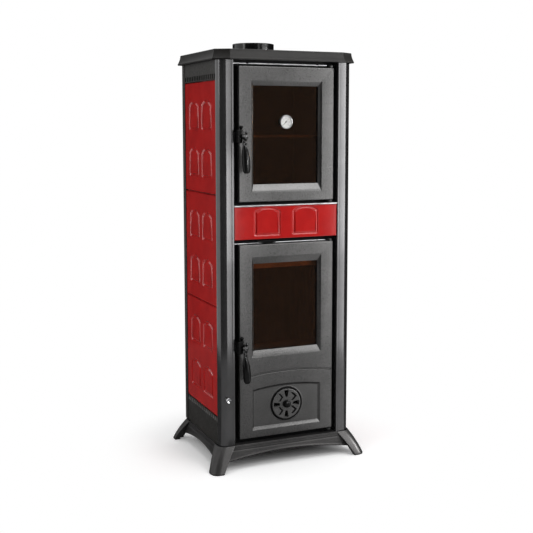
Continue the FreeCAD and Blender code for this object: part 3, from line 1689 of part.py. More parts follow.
def build():
    base_frame()
    column("column_left", -1)
    column("column_right", 1)
    side_sheet("side_sheet_left", -1)
    side_sheet("side_sheet_right", 1)
    back_panel()
    top_plate()
    flue_spigot()
    front_plate()
    air_lever()
    vent_strips()
    side_tiles()
    front_band()
    oven_door()
    fire_door()
    hinge_brackets()
    latch_strikers()
    inner_body()
    oven()
    firebox()
    grate()
    ash_pan()
    body_screws()
    DOC.recompute()


def check():
    """Stop before writing if any object failed or any piece isn't a valid solid."""
    faults = []
    for item in DOC.Objects:
        if "Invalid" in item.State or "Error" in item.State:
            faults.append("%s %s" % (item.Name, item.State))
    for item in PARTS:
        if item.Shape.isNull() or not item.Shape.isValid() or not item.Shape.Solids:
            faults.append("%s has no valid shape" % item.Label)
    if faults:
        raise RuntimeError("; ".join(faults))


def write():
    os.makedirs("parts", exist_ok=True)
    for item in PARTS:
        item.Shape.exportStep(os.path.join("parts", item.Label + ".step"))


build()
check()
write()
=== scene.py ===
"""Tiled solid-fuel cooking stove, dressed over its CAD frame.

Every length is in millimetres until put() writes it in metres. X runs to the right of the doors, Y runs
to the back and Z is up; the doors' front plane is FRONT.
"""
import bpy
import bmesh
import math
import numpy as np
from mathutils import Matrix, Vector
from mathutils.geometry import tessellate_polygon


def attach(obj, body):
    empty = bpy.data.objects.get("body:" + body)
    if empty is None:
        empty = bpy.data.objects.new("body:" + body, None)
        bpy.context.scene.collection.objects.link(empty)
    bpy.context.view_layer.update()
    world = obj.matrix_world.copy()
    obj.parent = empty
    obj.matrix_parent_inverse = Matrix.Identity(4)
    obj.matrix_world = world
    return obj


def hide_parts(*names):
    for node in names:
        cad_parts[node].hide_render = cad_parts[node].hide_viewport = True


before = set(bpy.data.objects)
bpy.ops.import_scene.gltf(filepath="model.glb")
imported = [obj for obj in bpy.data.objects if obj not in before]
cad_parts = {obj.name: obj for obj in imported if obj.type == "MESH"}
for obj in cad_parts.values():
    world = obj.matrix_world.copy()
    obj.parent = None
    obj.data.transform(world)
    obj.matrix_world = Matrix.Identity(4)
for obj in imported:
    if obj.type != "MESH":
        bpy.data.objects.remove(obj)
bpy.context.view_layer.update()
MM = 0.001
QUARTER = math.pi / 2

FRONT, BACK = -175.0, 175.0
HALF_WIDTH = 229.0
COLUMN_INNER = 179.0
SIDE_FACE = 227.0
BASE_TOP = 77.0
PLATE_LOW, LID_SEAT, PLATE_TOP = 1288.0, 1295.0, 1320.0
FLUE_Y = 105.0
DOOR_HALF, DOOR_THICK = 163.0, 18.0
BEVEL_HALF, WINDOW_HALF = 121.0, 112.0
REGISTER_LEVEL = 193.0
DIAL_LEVEL = 1100.0
HANDLE_X = -151.0


# Surfaces

def surface(grid, around=False):
    """Four-sided faces between neighbouring rows and columns of a grid of points, closed round each row
    if asked."""
    rows, columns = grid.shape[:2]
    index = np.arange(rows * columns).reshape(rows, columns)
    if around:
        index = np.hstack([index, index[:, :1]])
    faces = np.stack([index[:-1, :-1], index[:-1, 1:], index[1:, 1:], index[1:, :-1]], -1)
    return grid.reshape(-1, 3), faces.reshape(-1, 4)


def skin(rows):
    """Surface over closed rings of equal count, joined one to the next."""
    return surface(np.stack(rows), True)


def tidy(line):
    """A closed line without points that repeat the one before them."""
    gap = np.linalg.norm(line - np.roll(line, 1, axis=0), axis=1)
    return line[gap > 1e-4]


def flat(outer, *holes):
    """Triangles over a flat outline with holes in it."""
    loops = [tidy(line) for line in (outer,) + holes]
    triangles = tessellate_polygon([[Vector(point) for point in line] for line in loops])
    return np.concatenate(loops), np.array(triangles)


def capped(rows):
    """Rings joined one to the next, with a flat cap at each end."""
    return [skin(rows), flat(rows[0]), flat(rows[-1])]


def mirrored(patches, x=1.0, y=1.0):
    """Patches with their X and Y multiplied."""
    return [(points * np.array([x, y, 1.0]), faces) for points, faces in patches]


def arc(a, b, radius, start, sweep, steps):
    """Arc of flat points: centre plus radius times cosine and sine, from start through the sweep."""
    angle = start + np.linspace(0, sweep, steps)
    return np.stack([a + radius * np.cos(angle), b + radius * np.sin(angle)], 1)


def disc(a, b, radius, steps):
    """Circle: an arc that runs all round, without its last point."""
    return arc(a, b, radius, 0.0, 2 * math.pi, steps + 1)[:-1]


def oblong(low_a, high_a, low_b, high_b, radius, steps):
    """Anticlockwise rectangle whose corners are quarter circles of one radius or of four."""
    corners = ((high_a, high_b, -1, -1), (low_a, high_b, 1, -1),
               (low_a, low_b, 1, 1), (high_a, low_b, -1, 1))
    return np.concatenate([
        arc(a + side_a * r, b + side_b * r, r, number * QUARTER, QUARTER, steps + 1)
        for number, ((a, b, side_a, side_b), r) in enumerate(zip(corners, np.broadcast_to(radius, 4)))])


def rounded_line(line, radius, steps=4):
    """Closed line with each corner replaced by a curve: a quadratic between points a radius along both
    edges."""
    ends = []
    for way in (1, -1):
        edge = np.roll(line, way, axis=0) - line
        long = np.linalg.norm(edge, axis=1, keepdims=True)
        ends.append((line + edge / long * np.minimum(radius, long * 0.45))[:, None])
    share = np.linspace(0, 1, steps)[None, :, None]
    curve = (1 - share) ** 2 * ends[0] + 2 * share * (1 - share) * line[:, None] + share ** 2 * ends[1]
    return curve.reshape(-1, 2)


def widened(line, gap):
    """Anticlockwise closed line moved outwards by a gap: each corner goes along the sum of its two edge
    normals over one plus their product."""
    line = tidy(line)
    after = np.roll(line, -1, axis=0) - line
    after /= np.linalg.norm(after, axis=1, keepdims=True)
    out = np.stack([after[:, 1], -after[:, 0]], 1)
    before = np.roll(out, 1, axis=0)
    share = 1 + np.sum(out * before, axis=1, keepdims=True)
    return line + gap * (out + before) / np.maximum(share, 0.25)


def on_front(line, out=0.0):
    """Flat (x, z) points set on the doors' plane, out towards the room."""
    return np.stack([line[:, 0], FRONT - np.broadcast_to(out, line.shape[:1]), line[:, 1]], 1)


def on_side(side):
    """Setter of flat (y, z) points on a side sheet's face."""
    def place(line, out=0.0):
        across = side * (SIDE_FACE + np.broadcast_to(out, line.shape[:1]))
        return np.stack([across, line[:, 0], line[:, 1]], 1)
    return place


def in_plan(line, height=0.0):
    """Flat (x, y) points at a height."""
    return np.stack([line[:, 0], line[:, 1], np.broadcast_to(height, line.shape[:1])], 1)


def rows_round(line, profile, place):
    """Rows of a profile of (gap outwards, height) carried round a closed line and set on a face."""
    return [place(widened(line, gap), height) for gap, height in profile]


def carried(line, profile, place):
    """Surface over such rows."""
    return skin(rows_round(line, profile, place))


def each(lines, place, height):
    """Several lines set at the same height of a face."""
    return [place(line, height) for line in lines]


def wall(line, place, *heights):
    """A closed line carried straight from one height of a face to the next."""
    return skin([place(line, height) for height in heights])


def turned(profile, centre, axis, steps):
    """A profile of (radius, distance along the axis) spun round it: radius times cosine and sine."""
    profile = np.asarray(profile, float)
    angle = np.linspace(0, 2 * math.pi, steps, endpoint=False)
    side = centre[0] + profile[:, :1] * np.cos(angle)
    other = profile[:, :1] * np.sin(angle)
    along = np.broadcast_to(profile[:, 1:2], side.shape)
    if axis == "z":
        return skin(np.stack([side, centre[1] + other, centre[2] + along], -1))
    return skin(np.stack([side, centre[1] - along, centre[2] + other], -1))


def tube(path, radii, steps, guide):
    """A round section carried along a path: point plus radius times cosine of the side normal and sine
    of the other."""
    run = np.gradient(path, axis=0)
    run /= np.linalg.norm(run, axis=1, keepdims=True)
    side = np.cross(run, guide)
    side /= np.linalg.norm(side, axis=1, keepdims=True)
    other = np.cross(side, run)
    angle = np.linspace(0, 2 * math.pi, steps, endpoint=False)[None, :, None]
    ring = np.cos(angle) * side[:, None] + np.sin(angle) * other[:, None]
    return capped(path[:, None] + radii[:, None, None] * ring)


def eased(low, high, count):
    """Steps from low to high, closer at both ends: the half wave of a cosine."""
    return low + (high - low) * (1 - np.cos(np.linspace(0, math.pi, count))) / 2


def round_over(share):
    """How far a quarter round draws in, at a share of its height: 1 at its edge and 0 from its top on."""
    return 1 - np.sqrt(1 - (1 - np.clip(share, 0, 1)) ** 2)


def bar(x, y, z, round_by=0.8, steps=3):
    """Block with every long edge rounded: round rings drawn in along a quarter circle at both ends."""
    turn = np.linspace(0, QUARTER, steps + 1)
    draw_in = round_by * (1 - np.sin(turn))
    rise = round_by * (1 - np.cos(turn))
    heights = np.concatenate([z[0] + rise, (z[1] - rise)[::-1]])
    gaps = np.concatenate([draw_in, draw_in[::-1]])
    return capped([in_plan(oblong(x[0] + gap, x[1] - gap, y[0] + gap, y[1] - gap, round_by, steps), height)
                   for gap, height in zip(gaps, heights)])


def added(name, data):
    """New object of the scene that holds some data."""
    item = bpy.data.objects.new(name, data)
    bpy.context.scene.collection.objects.link(item)
    return item


def put(name, patches, finish, body, stands_for=(), slot=None, crease=32.0):
    """Patches joined into one piece: shared rims welded, faces turned outwards, edges past an angle kept
    sharp."""
    points, faces, count = [], [], 0
    for spots, cells in patches:
        points.append(spots)
        faces += (np.asarray(cells) + count).tolist()
        count += len(spots)
    mesh = bpy.data.meshes.new(name)
    mesh.from_pydata((np.concatenate(points) * MM).tolist(), [], faces)
    work = bmesh.new()
    work.from_mesh(mesh)
    bmesh.ops.remove_doubles(work, verts=work.verts, dist=3e-6)
    bmesh.ops.dissolve_degenerate(work, edges=work.edges, dist=1e-6)
    bmesh.ops.recalc_face_normals(work, faces=work.faces)
    limit = math.radians(crease)
    for face in work.faces:
        face.smooth = True
    for edge in work.edges:
        edge.smooth = len(edge.link_faces) == 2 and edge.calc_face_angle(0.0) < limit
    work.to_mesh(mesh)
    work.free()
    piece = added(name, mesh)
    mesh.materials.append(finish)
    level = piece.modifiers.new("level_faces", "WEIGHTED_NORMAL")
    level.keep_sharp = True
    level.weight = 100
    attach(piece, body)
    if stands_for:
        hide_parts(*stands_for)


# Finishes

def add_node(tree, kind, **settings):
    """New shader node of a kind in a tree, with its own settings."""
    node = tree.nodes.new("ShaderNode" + kind)
    for key, value in settings.items():
        setattr(node, key, value)
    return node


def fill_in(node, *values):
    """Sets sockets, by name or number: an output is linked, anything else is the socket's own value."""
    for key, value in values:
        if isinstance(value, bpy.types.NodeSocket):
            node.id_data.links.new(value, node.inputs[key])
        else:
            node.inputs[key].default_value = value


def worked(tree, way, first, second):
    """Two values added, multiplied or compared."""
    node = add_node(tree, "Math", operation=way)
    fill_in(node, (0, first), (1, second))
    return node.outputs[0]


def stretched(tree, source, low, high, start=0.0, end=1.0):
    """Source between low and high, made to run smoothly from start to end."""
    node = add_node(tree, "MapRange", interpolation_type="SMOOTHSTEP")
    fill_in(node, ("Value", source), ("From Min", low), ("From Max", high),
            ("To Min", start), ("To Max", end))
    return node.outputs["Result"]


class Finish:
    """Node tree of one finish, built up from its shader."""

    def __init__(self, name, colour, roughness, metallic=0.0, **sockets):
        self.material = bpy.data.materials.new(name)
        self.material.use_nodes = True
        self.tree = self.material.node_tree
        self.shader = self.tree.nodes["Principled BSDF"]
        fill_in(self.shader, ("Base Color", (*colour, 1.0)), ("Roughness", roughness),
                ("Metallic", metallic), *((key.replace("_", " "), value) for key, value in sockets.items()))
        self.place = add_node(self.tree, "TexCoord")

    def noise(self, size_mm, detail=4.0, stretch=(1.0, 1.0, 1.0), rough=0.55):
        """Noise whose cells are about size_mm across, on Object coordinates scaled along each axis."""
        scale = 1.0 / (size_mm * MM)
        spread = add_node(self.tree, "Mapping")
        fill_in(spread, ("Vector", self.place.outputs["Object"]),
                ("Scale", [scale * part for part in stretch]))
        node = add_node(self.tree, "TexNoise")
        fill_in(node, ("Vector", spread.outputs["Vector"]), ("Scale", 1.0), ("Detail", detail),
                ("Roughness", rough))
        return node.outputs["Fac"]

    def mixed(self, first, share, second):
        """Weighted sum of two sources, the first with this share."""
        return worked(self.tree, "ADD", worked(self.tree, "MULTIPLY", first, share),
                      worked(self.tree, "MULTIPLY", second, 1.0 - share))

    def colours(self, source, low, high, dark, light):
        """Base colour from dark to light as the source runs from low to high."""
        node = add_node(self.tree, "Mix", data_type="RGBA")
        fill_in(node, ("Factor", stretched(self.tree, source, low, high)),
                (6, (*dark, 1.0)), (7, (*light, 1.0)))
        fill_in(self.shader, ("Base Color", node.outputs[2]))

    def roughness(self, source, start, end, low=0.3, high=0.7):
        """Roughness from start to end as the source runs from low to high."""
        fill_in(self.shader, ("Roughness", stretched(self.tree, source, low, high, start, end)))

    def bump(self, source, depth_mm):
        """Relief as deep as given."""
        node = add_node(self.tree, "Bump")
        fill_in(node, ("Strength", 1.0), ("Distance", depth_mm * MM), ("Height", source))
        fill_in(self.shader, ("Normal", node.outputs["Normal"]))


def cast_iron(name, dark, light, roughness, grain_mm, depth, metallic, shine=0.5):
    """Metallic paint on a casting: fine mottled grain over slow clouds of shade, with a sandy skin."""
    finish = Finish(name, dark, roughness, metallic, Specular_IOR_Level=shine)
    grain = finish.noise(grain_mm, 6.0, rough=0.7)
    finish.colours(finish.mixed(grain, 0.62, finish.noise(95.0, 3.0)), 0.38, 0.64, dark, light)
    finish.roughness(grain, roughness - 0.04, roughness + 0.05)
    finish.bump(finish.noise(1.3, 5.0, rough=0.65), depth)
    return finish.material


def glaze(name, deep, thin):
    """Coloured glaze over clay: pooled and thin places, a fine orange peel and a glossy coat."""
    finish = Finish(name, deep, 0.12, Specular_IOR_Level=0.30, Coat_Weight=0.32, Coat_Roughness=0.05)
    pool = finish.noise(60.0, 3.0)
    finish.colours(finish.mixed(pool, 0.75, finish.noise(3.0, 5.0, rough=0.7)), 0.35, 0.65, deep, thin)
    finish.bump(finish.mixed(finish.noise(22.0, 2.0), 0.92, finish.noise(2.4, 2.0)), 0.09)
    return finish.material


def steel(name, dark, light, roughness, stretch=(1.0, 1.0, 14.0), depth=0.02, metallic=1.0):
    """Drawn or brushed metal: grain stretched along one axis, and slow clouds of oxide."""
    finish = Finish(name, light, roughness, metallic)
    brush = finish.noise(1.1, 4.0, [1.0 / part for part in stretch], 0.6)
    finish.colours(finish.mixed(brush, 0.5, finish.noise(45.0, 3.0)), 0.38, 0.62, dark, light)
    finish.roughness(brush, roughness * 0.8, roughness * 1.3)
    finish.bump(brush, depth)
    return finish.material


def enamel(name, dark, light, roughness, coat, shine=0.5):
    """Smooth sprayed metal: faint clouds and a light orange peel."""
    finish = Finish(name, dark, roughness, Coat_Weight=coat, Coat_Roughness=0.12, Specular_IOR_Level=shine)
    finish.colours(finish.noise(40.0, 4.0), 0.35, 0.65, dark, light)
    finish.roughness(finish.noise(5.0, 4.0), roughness * 0.85, roughness * 1.2)
    finish.bump(finish.noise(2.4, 3.0), 0.03)
    return finish.material


def firestone(name, dark, light, size_mm=6.0, depth=0.35):
    """Pressed refractory: sandy grain, sooty clouds and pits."""
    finish = Finish(name, dark, 0.92)
    grain = finish.noise(size_mm, 8.0, rough=0.7)
    finish.colours(finish.mixed(grain, 0.5, finish.noise(80.0, 4.0)), 0.36, 0.66, dark, light)
    finish.bump(finish.noise(2.5, 6.0, rough=0.7), depth)
    return finish.material


def rope(name, dark, light):
    """Woven cord: fine bands across two directions."""
    finish = Finish(name, dark, 0.95)
    weave = worked(finish.tree, "MULTIPLY", finish.noise(1.2, 4.0), finish.noise(7.0, 3.0))
    finish.colours(weave, 0.15, 0.4, dark, light)
    finish.bump(finish.noise(0.9, 3.0), 0.3)
    return finish.material


def pane(name, tint, roughness=0.04):
    """Heat-proof glass that lets light through, with a faint dust on its face."""
    finish = Finish(name, tint, roughness, Transmission_Weight=1.0, IOR=1.45, Specular_IOR_Level=0.25)
    finish.roughness(finish.noise(12.0, 4.0), roughness, roughness * 2.2, 0.3, 0.8)
    return finish.material


def grey(value):
    """Neutral colour."""
    return (value, value, value)


BLACKS = (grey(0.0015), grey(0.003))
iron_base = cast_iron("base_casting_paint", (0.040, 0.039, 0.039), (0.063, 0.061, 0.060),
                      0.36, 3.0, 0.012, 0.6, 0.3)
iron_column = cast_iron("column_paint", (0.096, 0.095, 0.097), (0.120, 0.119, 0.121),
                        0.13, 2.5, 0.015, 0.8)
iron_top = cast_iron("top_plate_paint", (0.006, 0.0055, 0.005), (0.013, 0.012, 0.011),
                     0.42, 2.5, 0.04, 0.0, 0.22)
iron_door = cast_iron("door_casting_paint", (0.101, 0.100, 0.099), (0.131, 0.129, 0.128),
                      0.29, 2.2, 0.02, 0.84, 0.3)
flue_black = enamel("flue_enamel", grey(0.003), grey(0.006), 0.16, 0.2, 0.35)
red_tile = glaze("red_tile_glaze", (0.310, 0.007, 0.007), (0.370, 0.010, 0.009))
side_black = enamel("side_sheet_enamel", (0.020, 0.019, 0.017), (0.026, 0.024, 0.022), 0.5, 0.0, 0.3)
louvre_grey = enamel("louvre_enamel", (0.07, 0.068, 0.064), (0.13, 0.126, 0.12), 0.4, 0.0)
# Black enamel of the front plate; it also lines the register's chevrons and channel as painted shade.
plate_black = enamel("front_plate_enamel", *BLACKS, 0.7, 0.0, 0.1)
inner_steel = steel("inner_body_steel", (0.035, 0.030, 0.027), (0.085, 0.075, 0.068), 0.6, metallic=0.6)
oven_grey = enamel("oven_box_enamel", (0.006, 0.002, 0.0005), (0.011, 0.004, 0.001), 0.6, 0.0, 0.05)
bright_rim = steel("bright_trim_steel", (0.30, 0.30, 0.31), (0.55, 0.55, 0.56), 0.34, (14.0, 1.0, 1.0))
clear_pane = pane("ceramic_glass", (0.32, 0.15, 0.07))
seal_cord = rope("rope_seal", (0.05, 0.045, 0.04), (0.14, 0.13, 0.12))
hinge_grey = steel("hinge_steel", grey(0.10), grey(0.20), 0.4)
hinge_dark = steel("hinge_paint", grey(0.010), grey(0.022), 0.5, metallic=0.3)
handle_black = enamel("handle_black_lacquer", *BLACKS, 0.09, 0.0, 0.19)
handle_iron = enamel("handle_iron_lacquer", *BLACKS, 0.2, 0.0, 0.10)
twist_iron = enamel("handle_twist_polish", *BLACKS, 0.06, 0.0, 0.8)
chrome = steel("knob_chrome", (0.50, 0.50, 0.52), (0.72, 0.72, 0.74), 0.14, (1.0, 1.0, 1.0), 0.005)
dial_white = enamel("dial_face_enamel", (0.78, 0.78, 0.76), (0.86, 0.86, 0.84), 0.4, 0.2)
dial_lens = pane("dial_glass", grey(0.97), 0.01)
dial_ink = enamel("dial_ink", (0.010, 0.010, 0.012), (0.016, 0.016, 0.018), 0.4, 0.1)
brick = firestone("firebrick", (0.022, 0.016, 0.013), (0.075, 0.056, 0.044))
grate_iron = firestone("grate_iron", (0.020, 0.019, 0.019), (0.055, 0.052, 0.050), 3.0, 0.12)
stone = firestone("oven_stone", (0.16, 0.13, 0.10), (0.30, 0.25, 0.20))
zinc = steel("zinc_plated_steel", (0.38, 0.38, 0.36), (0.58, 0.57, 0.52), 0.34)


# Base casting

FOOT_SPLAY, APRON_SPLAY, LEDGE = 42.0, 11.0, 3.0
LEG_BOW, LEG_WALL, LEG_ROUND, LEG_TIP = 0.32, 20.0, 26.0, 3.0
FOOT_BLUNT = 5.0
APRON_EDGE, APRON_ARCH, APRON_LIP = 26.0, 19.0, 0.06
APRON_LAP, APRON_TUCK, APRON_WALL = 2.0, 6.0, 6.0
RIDGES = ((73.0, 0.6, 3.0), (62.0, -0.6, 1.8))
EDGE_RIDGE = (3.5, 0.9, 3.0)


def reach(height):
    """Splay of the legs beyond the body: the ledge, plus the rest along a bowed slope that steepens to
    the floor."""
    down = 1 - height / BASE_TOP
    return LEDGE + (FOOT_SPLAY - LEDGE) * down * (1 + LEG_BOW * (1 - down))


def leg_arm(height):
    """Length of a leg's arms along the aprons: 40 at the floor and 52 under the body."""
    return 40.0 + 12.0 * height / BASE_TOP


def leg_ring(height, draw_in):
    """Angle-shaped ring of one leg: a big outer round, two blunt arm ends and an inner round."""
    corner = np.array([-HALF_WIDTH, FRONT]) - reach(height) + draw_in
    far = leg_arm(height) - draw_in - LEG_TIP
    outer = LEG_ROUND - draw_in
    inner = LEG_WALL - LEG_TIP
    ring = [arc(outer, outer, outer, math.pi, QUARTER, 9)]
    ring += [arc(far, b, LEG_TIP, start, QUARTER, 4) for b, start in ((LEG_TIP, -QUARTER), (inner, 0.0))]
    ring += [arc(outer, outer, outer - LEG_WALL, -QUARTER, -QUARTER, 9)]
    ring += [arc(a, far, LEG_TIP, start, QUARTER, 4) for a, start in ((inner, 0.0), (LEG_TIP, QUARTER))]
    return in_plan(np.concatenate(ring) + corner, height)


def base_casting():
    """Four splayed corner legs with blunt upright feet, and moulded aprons with an arched lower edge
    between them."""
    heights = np.concatenate([[0.0, 0.5, 1.4, 2.8, FOOT_BLUNT], np.linspace(9.0, BASE_TOP, 18)])
    blunt = 4.0 * round_over(heights / FOOT_BLUNT)
    leg = capped([leg_ring(height, gap) for height, gap in zip(heights, blunt)])
    patches = [patch for x in (1, -1) for y in (1, -1) for patch in mirrored(leg, x, y)]
    patches += apron(HALF_WIDTH, BACK, "front") + apron(BACK, HALF_WIDTH, "side")
    ring = oblong(-HALF_WIDTH - LEDGE, HALF_WIDTH + LEDGE, FRONT - LEDGE, BACK + LEDGE, 28.0, 10)
    well = oblong(-HALF_WIDTH + 34.0, HALF_WIDTH - 34.0, FRONT + 34.0, BACK - 34.0, 4.0, 10)
    under = BASE_TOP - 6.0
    patches.append(skin([in_plan(line, height) for line, height in (
        (ring, under), (ring, BASE_TOP - 0.8), (widened(ring, -0.8), BASE_TOP),
        (well, BASE_TOP), (well, under), (ring, under))]))
    put("base_casting", patches, iron_base, "stove", ("base_frame",), "cast_iron_base", 38.0)


def apron(half_run, half_span, way):
    """Apron as a grid: across is a share of the run, up goes from the arched edge to the top; ridges are
    bumps of height."""
    across = np.concatenate([[-1.0], eased(-1.0, 1.0, 61), [1.0]])
    inside = np.ones(len(across))
    inside[0] = inside[-1] = 0.0
    up = np.concatenate([np.linspace(0, APRON_LIP, 4), np.linspace(0.1, 1.0, 34)])[:, None]
    edge = APRON_EDGE + APRON_ARCH * (1 - across ** 2)
    height = edge + (BASE_TOP - edge) * up
    end = half_run + reach(height) - leg_arm(height) + APRON_LAP
    run = across * end - np.sign(across) * inside * APRON_LAP
    run[:, 0] -= APRON_TUCK
    run[:, -1] += APRON_TUCK
    above, rise, wide = EDGE_RIDGE
    ridge = sum(size * np.exp(-((height - level) / spread) ** 2)
                for level, size, spread in RIDGES + ((edge + above, rise, wide),))
    skirt = half_span + LEDGE + APRON_SPLAY * (1 - height / BASE_TOP)
    face = skirt - 1.0 + (ridge - 2.0 * round_over(up / APRON_LIP)) * inside - 1.5 * (1 - inside)
    back = np.minimum(face - APRON_WALL, skirt - APRON_WALL - 2.0)
    outside, lining = (np.stack([run, -depth, height], -1) for depth in (face, back))
    sheets = [surface(outside), surface(lining), surface(np.stack([outside[0], lining[0]]))]
    if way == "front":
        return sheets + mirrored(sheets, y=-1.0)
    sheets = [(points[:, (1, 0, 2)] * np.array([-1.0, 1.0, 1.0]), faces) for points, faces in sheets]
    return sheets + mirrored(sheets, x=-1.0)


# Body

COLUMN_ROUND, COLUMN_WALL, COLUMN_BACK = 27.0, 5.0, -146.0


def column(side, word):
    """Corner column: one moulded profile carried up the height; flat, bead, quarter round and return."""
    face = FRONT + 1.2
    centre = HALF_WIDTH - COLUMN_ROUND, face + COLUMN_ROUND
    lip = np.linspace(0, QUARTER, 4)
    outline = np.concatenate([
        [(COLUMN_INNER, -150.0), (COLUMN_INNER, FRONT + 1.0), (COLUMN_INNER + 1.0, FRONT)],
        np.stack([COLUMN_INNER + 6.2 + 0.8 * np.sin(lip), FRONT + 0.6 * (1 - np.cos(lip))], 1),
        [(COLUMN_INNER + 8.0, face)],
        arc(*centre, COLUMN_ROUND, -QUARTER, QUARTER, 15),
        [(HALF_WIDTH, COLUMN_BACK - 1.2), (HALF_WIDTH - 0.8, COLUMN_BACK),
         (HALF_WIDTH - COLUMN_WALL, COLUMN_BACK), (HALF_WIDTH - COLUMN_WALL, COLUMN_BACK - 3.0)],
        arc(*centre, COLUMN_ROUND - COLUMN_WALL, 0.0, -QUARTER, 15),
        [(COLUMN_INNER + COLUMN_WALL, face + COLUMN_WALL), (COLUMN_INNER + COLUMN_WALL, -150.0)],
    ])
    outline[:, 0] *= side
    patches = capped([in_plan(outline, height) for height in np.linspace(BASE_TOP, LID_SEAT - 1.0, 6)])
    put("column_casting_" + word, patches, iron_column, "stove", ("column_" + word,), "cast_iron_column",
        24.0)


LID_HALF_X, LID_HALF_Y, LID_BACK_ROUND = 243.0, 189.0, 14.0
LID_CUT_X, LID_CUT_Y = 48.0, 29.0


def lid_outline(gap):
    """Lid in plan, drawn in by a gap: round back corners and straight cuts across the front ones."""
    x, y = LID_HALF_X - gap, LID_HALF_Y - gap
    loss = gap * (LID_CUT_X + LID_CUT_Y - math.hypot(LID_CUT_X, LID_CUT_Y))
    cut_x, cut_y = LID_CUT_X - loss / LID_CUT_Y, LID_CUT_Y - loss / LID_CUT_X
    radius = LID_BACK_ROUND - 0.3 * gap
    back = arc(x - radius, y - radius, radius, 0.0, QUARTER, 9)
    front = np.array([(-x, -y + cut_y), (-x + cut_x, -y), (x - cut_x, -y), (x, -y + cut_y)])
    return np.concatenate([back, back[::-1] * np.array([-1.0, 1.0]), rounded_line(front, 1.2, 3)])


def top_plate():
    """Cast lid: outlines step up from the lower band, in along a hollow cove and over the top edge."""
    turn = np.linspace(0, 1, 11)
    profile = [(0.7, 0.0), (0.0, 0.7), (0.0, 4.4), (0.5, 5.2)]
    profile += list(zip(0.9 + 6.6 * (1 - (1 - turn) ** 1.7), 5.6 + 24.6 * turn))
    profile += [(7.9, 31.2), (8.9, PLATE_TOP - PLATE_LOW)]
    rings = [in_plan(lid_outline(gap), PLATE_LOW + height) for gap, height in profile]
    bore = disc(0.0, FLUE_Y, 62.5, 72)
    under = oblong(-230.0, 230.0, -176.0, 176.0, (0.5, 0.5, 27.5, 27.5), 12)
    patches = [skin(rings), flat(rings[-1], in_plan(bore, PLATE_TOP)[::-1]),
               flat(rings[0], in_plan(under, PLATE_LOW)[::-1]), wall(under, in_plan, PLATE_LOW, LID_SEAT),
               flat(in_plan(under, LID_SEAT), in_plan(bore, LID_SEAT)[::-1]),
               wall(bore, in_plan, LID_SEAT, PLATE_TOP)]
    put("top_plate_casting", patches, iron_top, "stove", ("top_plate",), "cast_iron_top", 14.0)


def spigot():
    """Flue collar: one profile spun about the flue's axis."""
    profile = [(65.5, 0.0), (78.0, 0.0), (78.5, 0.6), (78.5, 4.0), (77.5, 5.0), (71.0, 5.0), (69.8, 6.2),
               (69.5, 8.0), (69.5, 38.6), (69.0, 39.6), (68.0, 40.0), (66.6, 40.0), (65.7, 39.4),
               (65.5, 38.4), (65.5, 0.0)]
    put("flue_collar", [turned(profile, (0.0, FLUE_Y, PLATE_TOP), "z", 128)], flue_black, "stove",
        ("flue_spigot",), "flue_enamel", 30.0)


ARCH_HALF, ARCH_CHEEK = 41.0, 22.0
CHANNEL_HALF, CHANNEL_DEEP = 5.8, 2.3
CHANNEL = [(gap, -CHANNEL_DEEP * (1 + math.cos(math.pi * gap / CHANNEL_HALF)) / 2)
           for gap in np.linspace(CHANNEL_HALF, -CHANNEL_HALF, 13)]


def arch(a, foot):
    """Outline of a shouldered arch standing on (a, foot): straight cheeks, sloping shoulders and a low
    crown arc."""
    crown = np.linspace(-1, 1, 9)
    head = np.stack([a - ARCH_CHEEK * crown, foot + 81.5 + 2.5 * (1 - crown ** 2)], 1)
    legs = np.array([(a - ARCH_HALF, foot + 72.0), (a - ARCH_HALF, foot), (a + ARCH_HALF, foot),
                     (a + ARCH_HALF, foot + 72.0)])
    return rounded_line(np.concatenate([legs, head]), 3.0)


def tile_piece(name, node, box, arches, place):
    """Glazed tile: cushioned rim, flat face and a soft channel carried round each arch."""
    edge = [(0.0, -8.0), (0.0, -2.4), (-0.2, -1.5), (-0.7, -0.7), (-1.5, -0.2), (-2.6, 0.0)]
    rings = rows_round(oblong(*box, 1.2, 3), edge, place)
    patches = [skin(rings), flat(rings[0])]
    lines = [arch(a, foot) for a, foot in arches]
    for line in lines:
        patches += [carried(line, CHANNEL, place), flat(place(widened(line, -CHANNEL_HALF)))]
    patches.append(flat(rings[-1], *each([widened(line, CHANNEL_HALF) for line in lines], place, 0.0)))
    put(name, patches, red_tile, "stove", (node,), "red_glaze", 40.0)


def tiles():
    """Three tall tiles a side with two by two arches, and the band tile with two, on its carrier."""
    for side, word in ((-1, "left"), (1, "right")):
        for row, level in enumerate(("bottom", "middle", "top")):
            base = 168.5 + 353.5 * row
            arches = [(2.5 + 60.5 * step, base + 53.0 + 151.0 * line)
                      for step in (-1, 1) for line in (0, 1)]
            tile_piece("glazed_tile_%s_%s" % (word, level), "side_tile_%s_%s" % (word, level),
                       (-145.5, 150.5, base, base + 352.0), arches, on_side(side))
    run = (-178.5, 178.5)
    tile_piece("glazed_band_tile", "front_tile", (*run, 734.0, 837.0), [(-66.0, 748.0), (66.0, 748.0)],
               lambda line, out=0.0: on_front(line, out - 3.0))
    patches = bar(run, (-173.5, -150.0), (838.0, 841.4)) + bar(run, (-164.0, -162.5), (734.0, 838.0), 0.3)
    put("band_carrier", patches, bright_rim, "stove", ("front_tile_carrier",), "bright_trim")


FINS = 17
FIN_STEP = 296.0 / FINS
SHEET_FRONT, SHEET_BACK, SHEET_THICK = -146.0, 173.5, 1.5
TILES_LOW, TILES_HIGH = 168.0, 1228.0


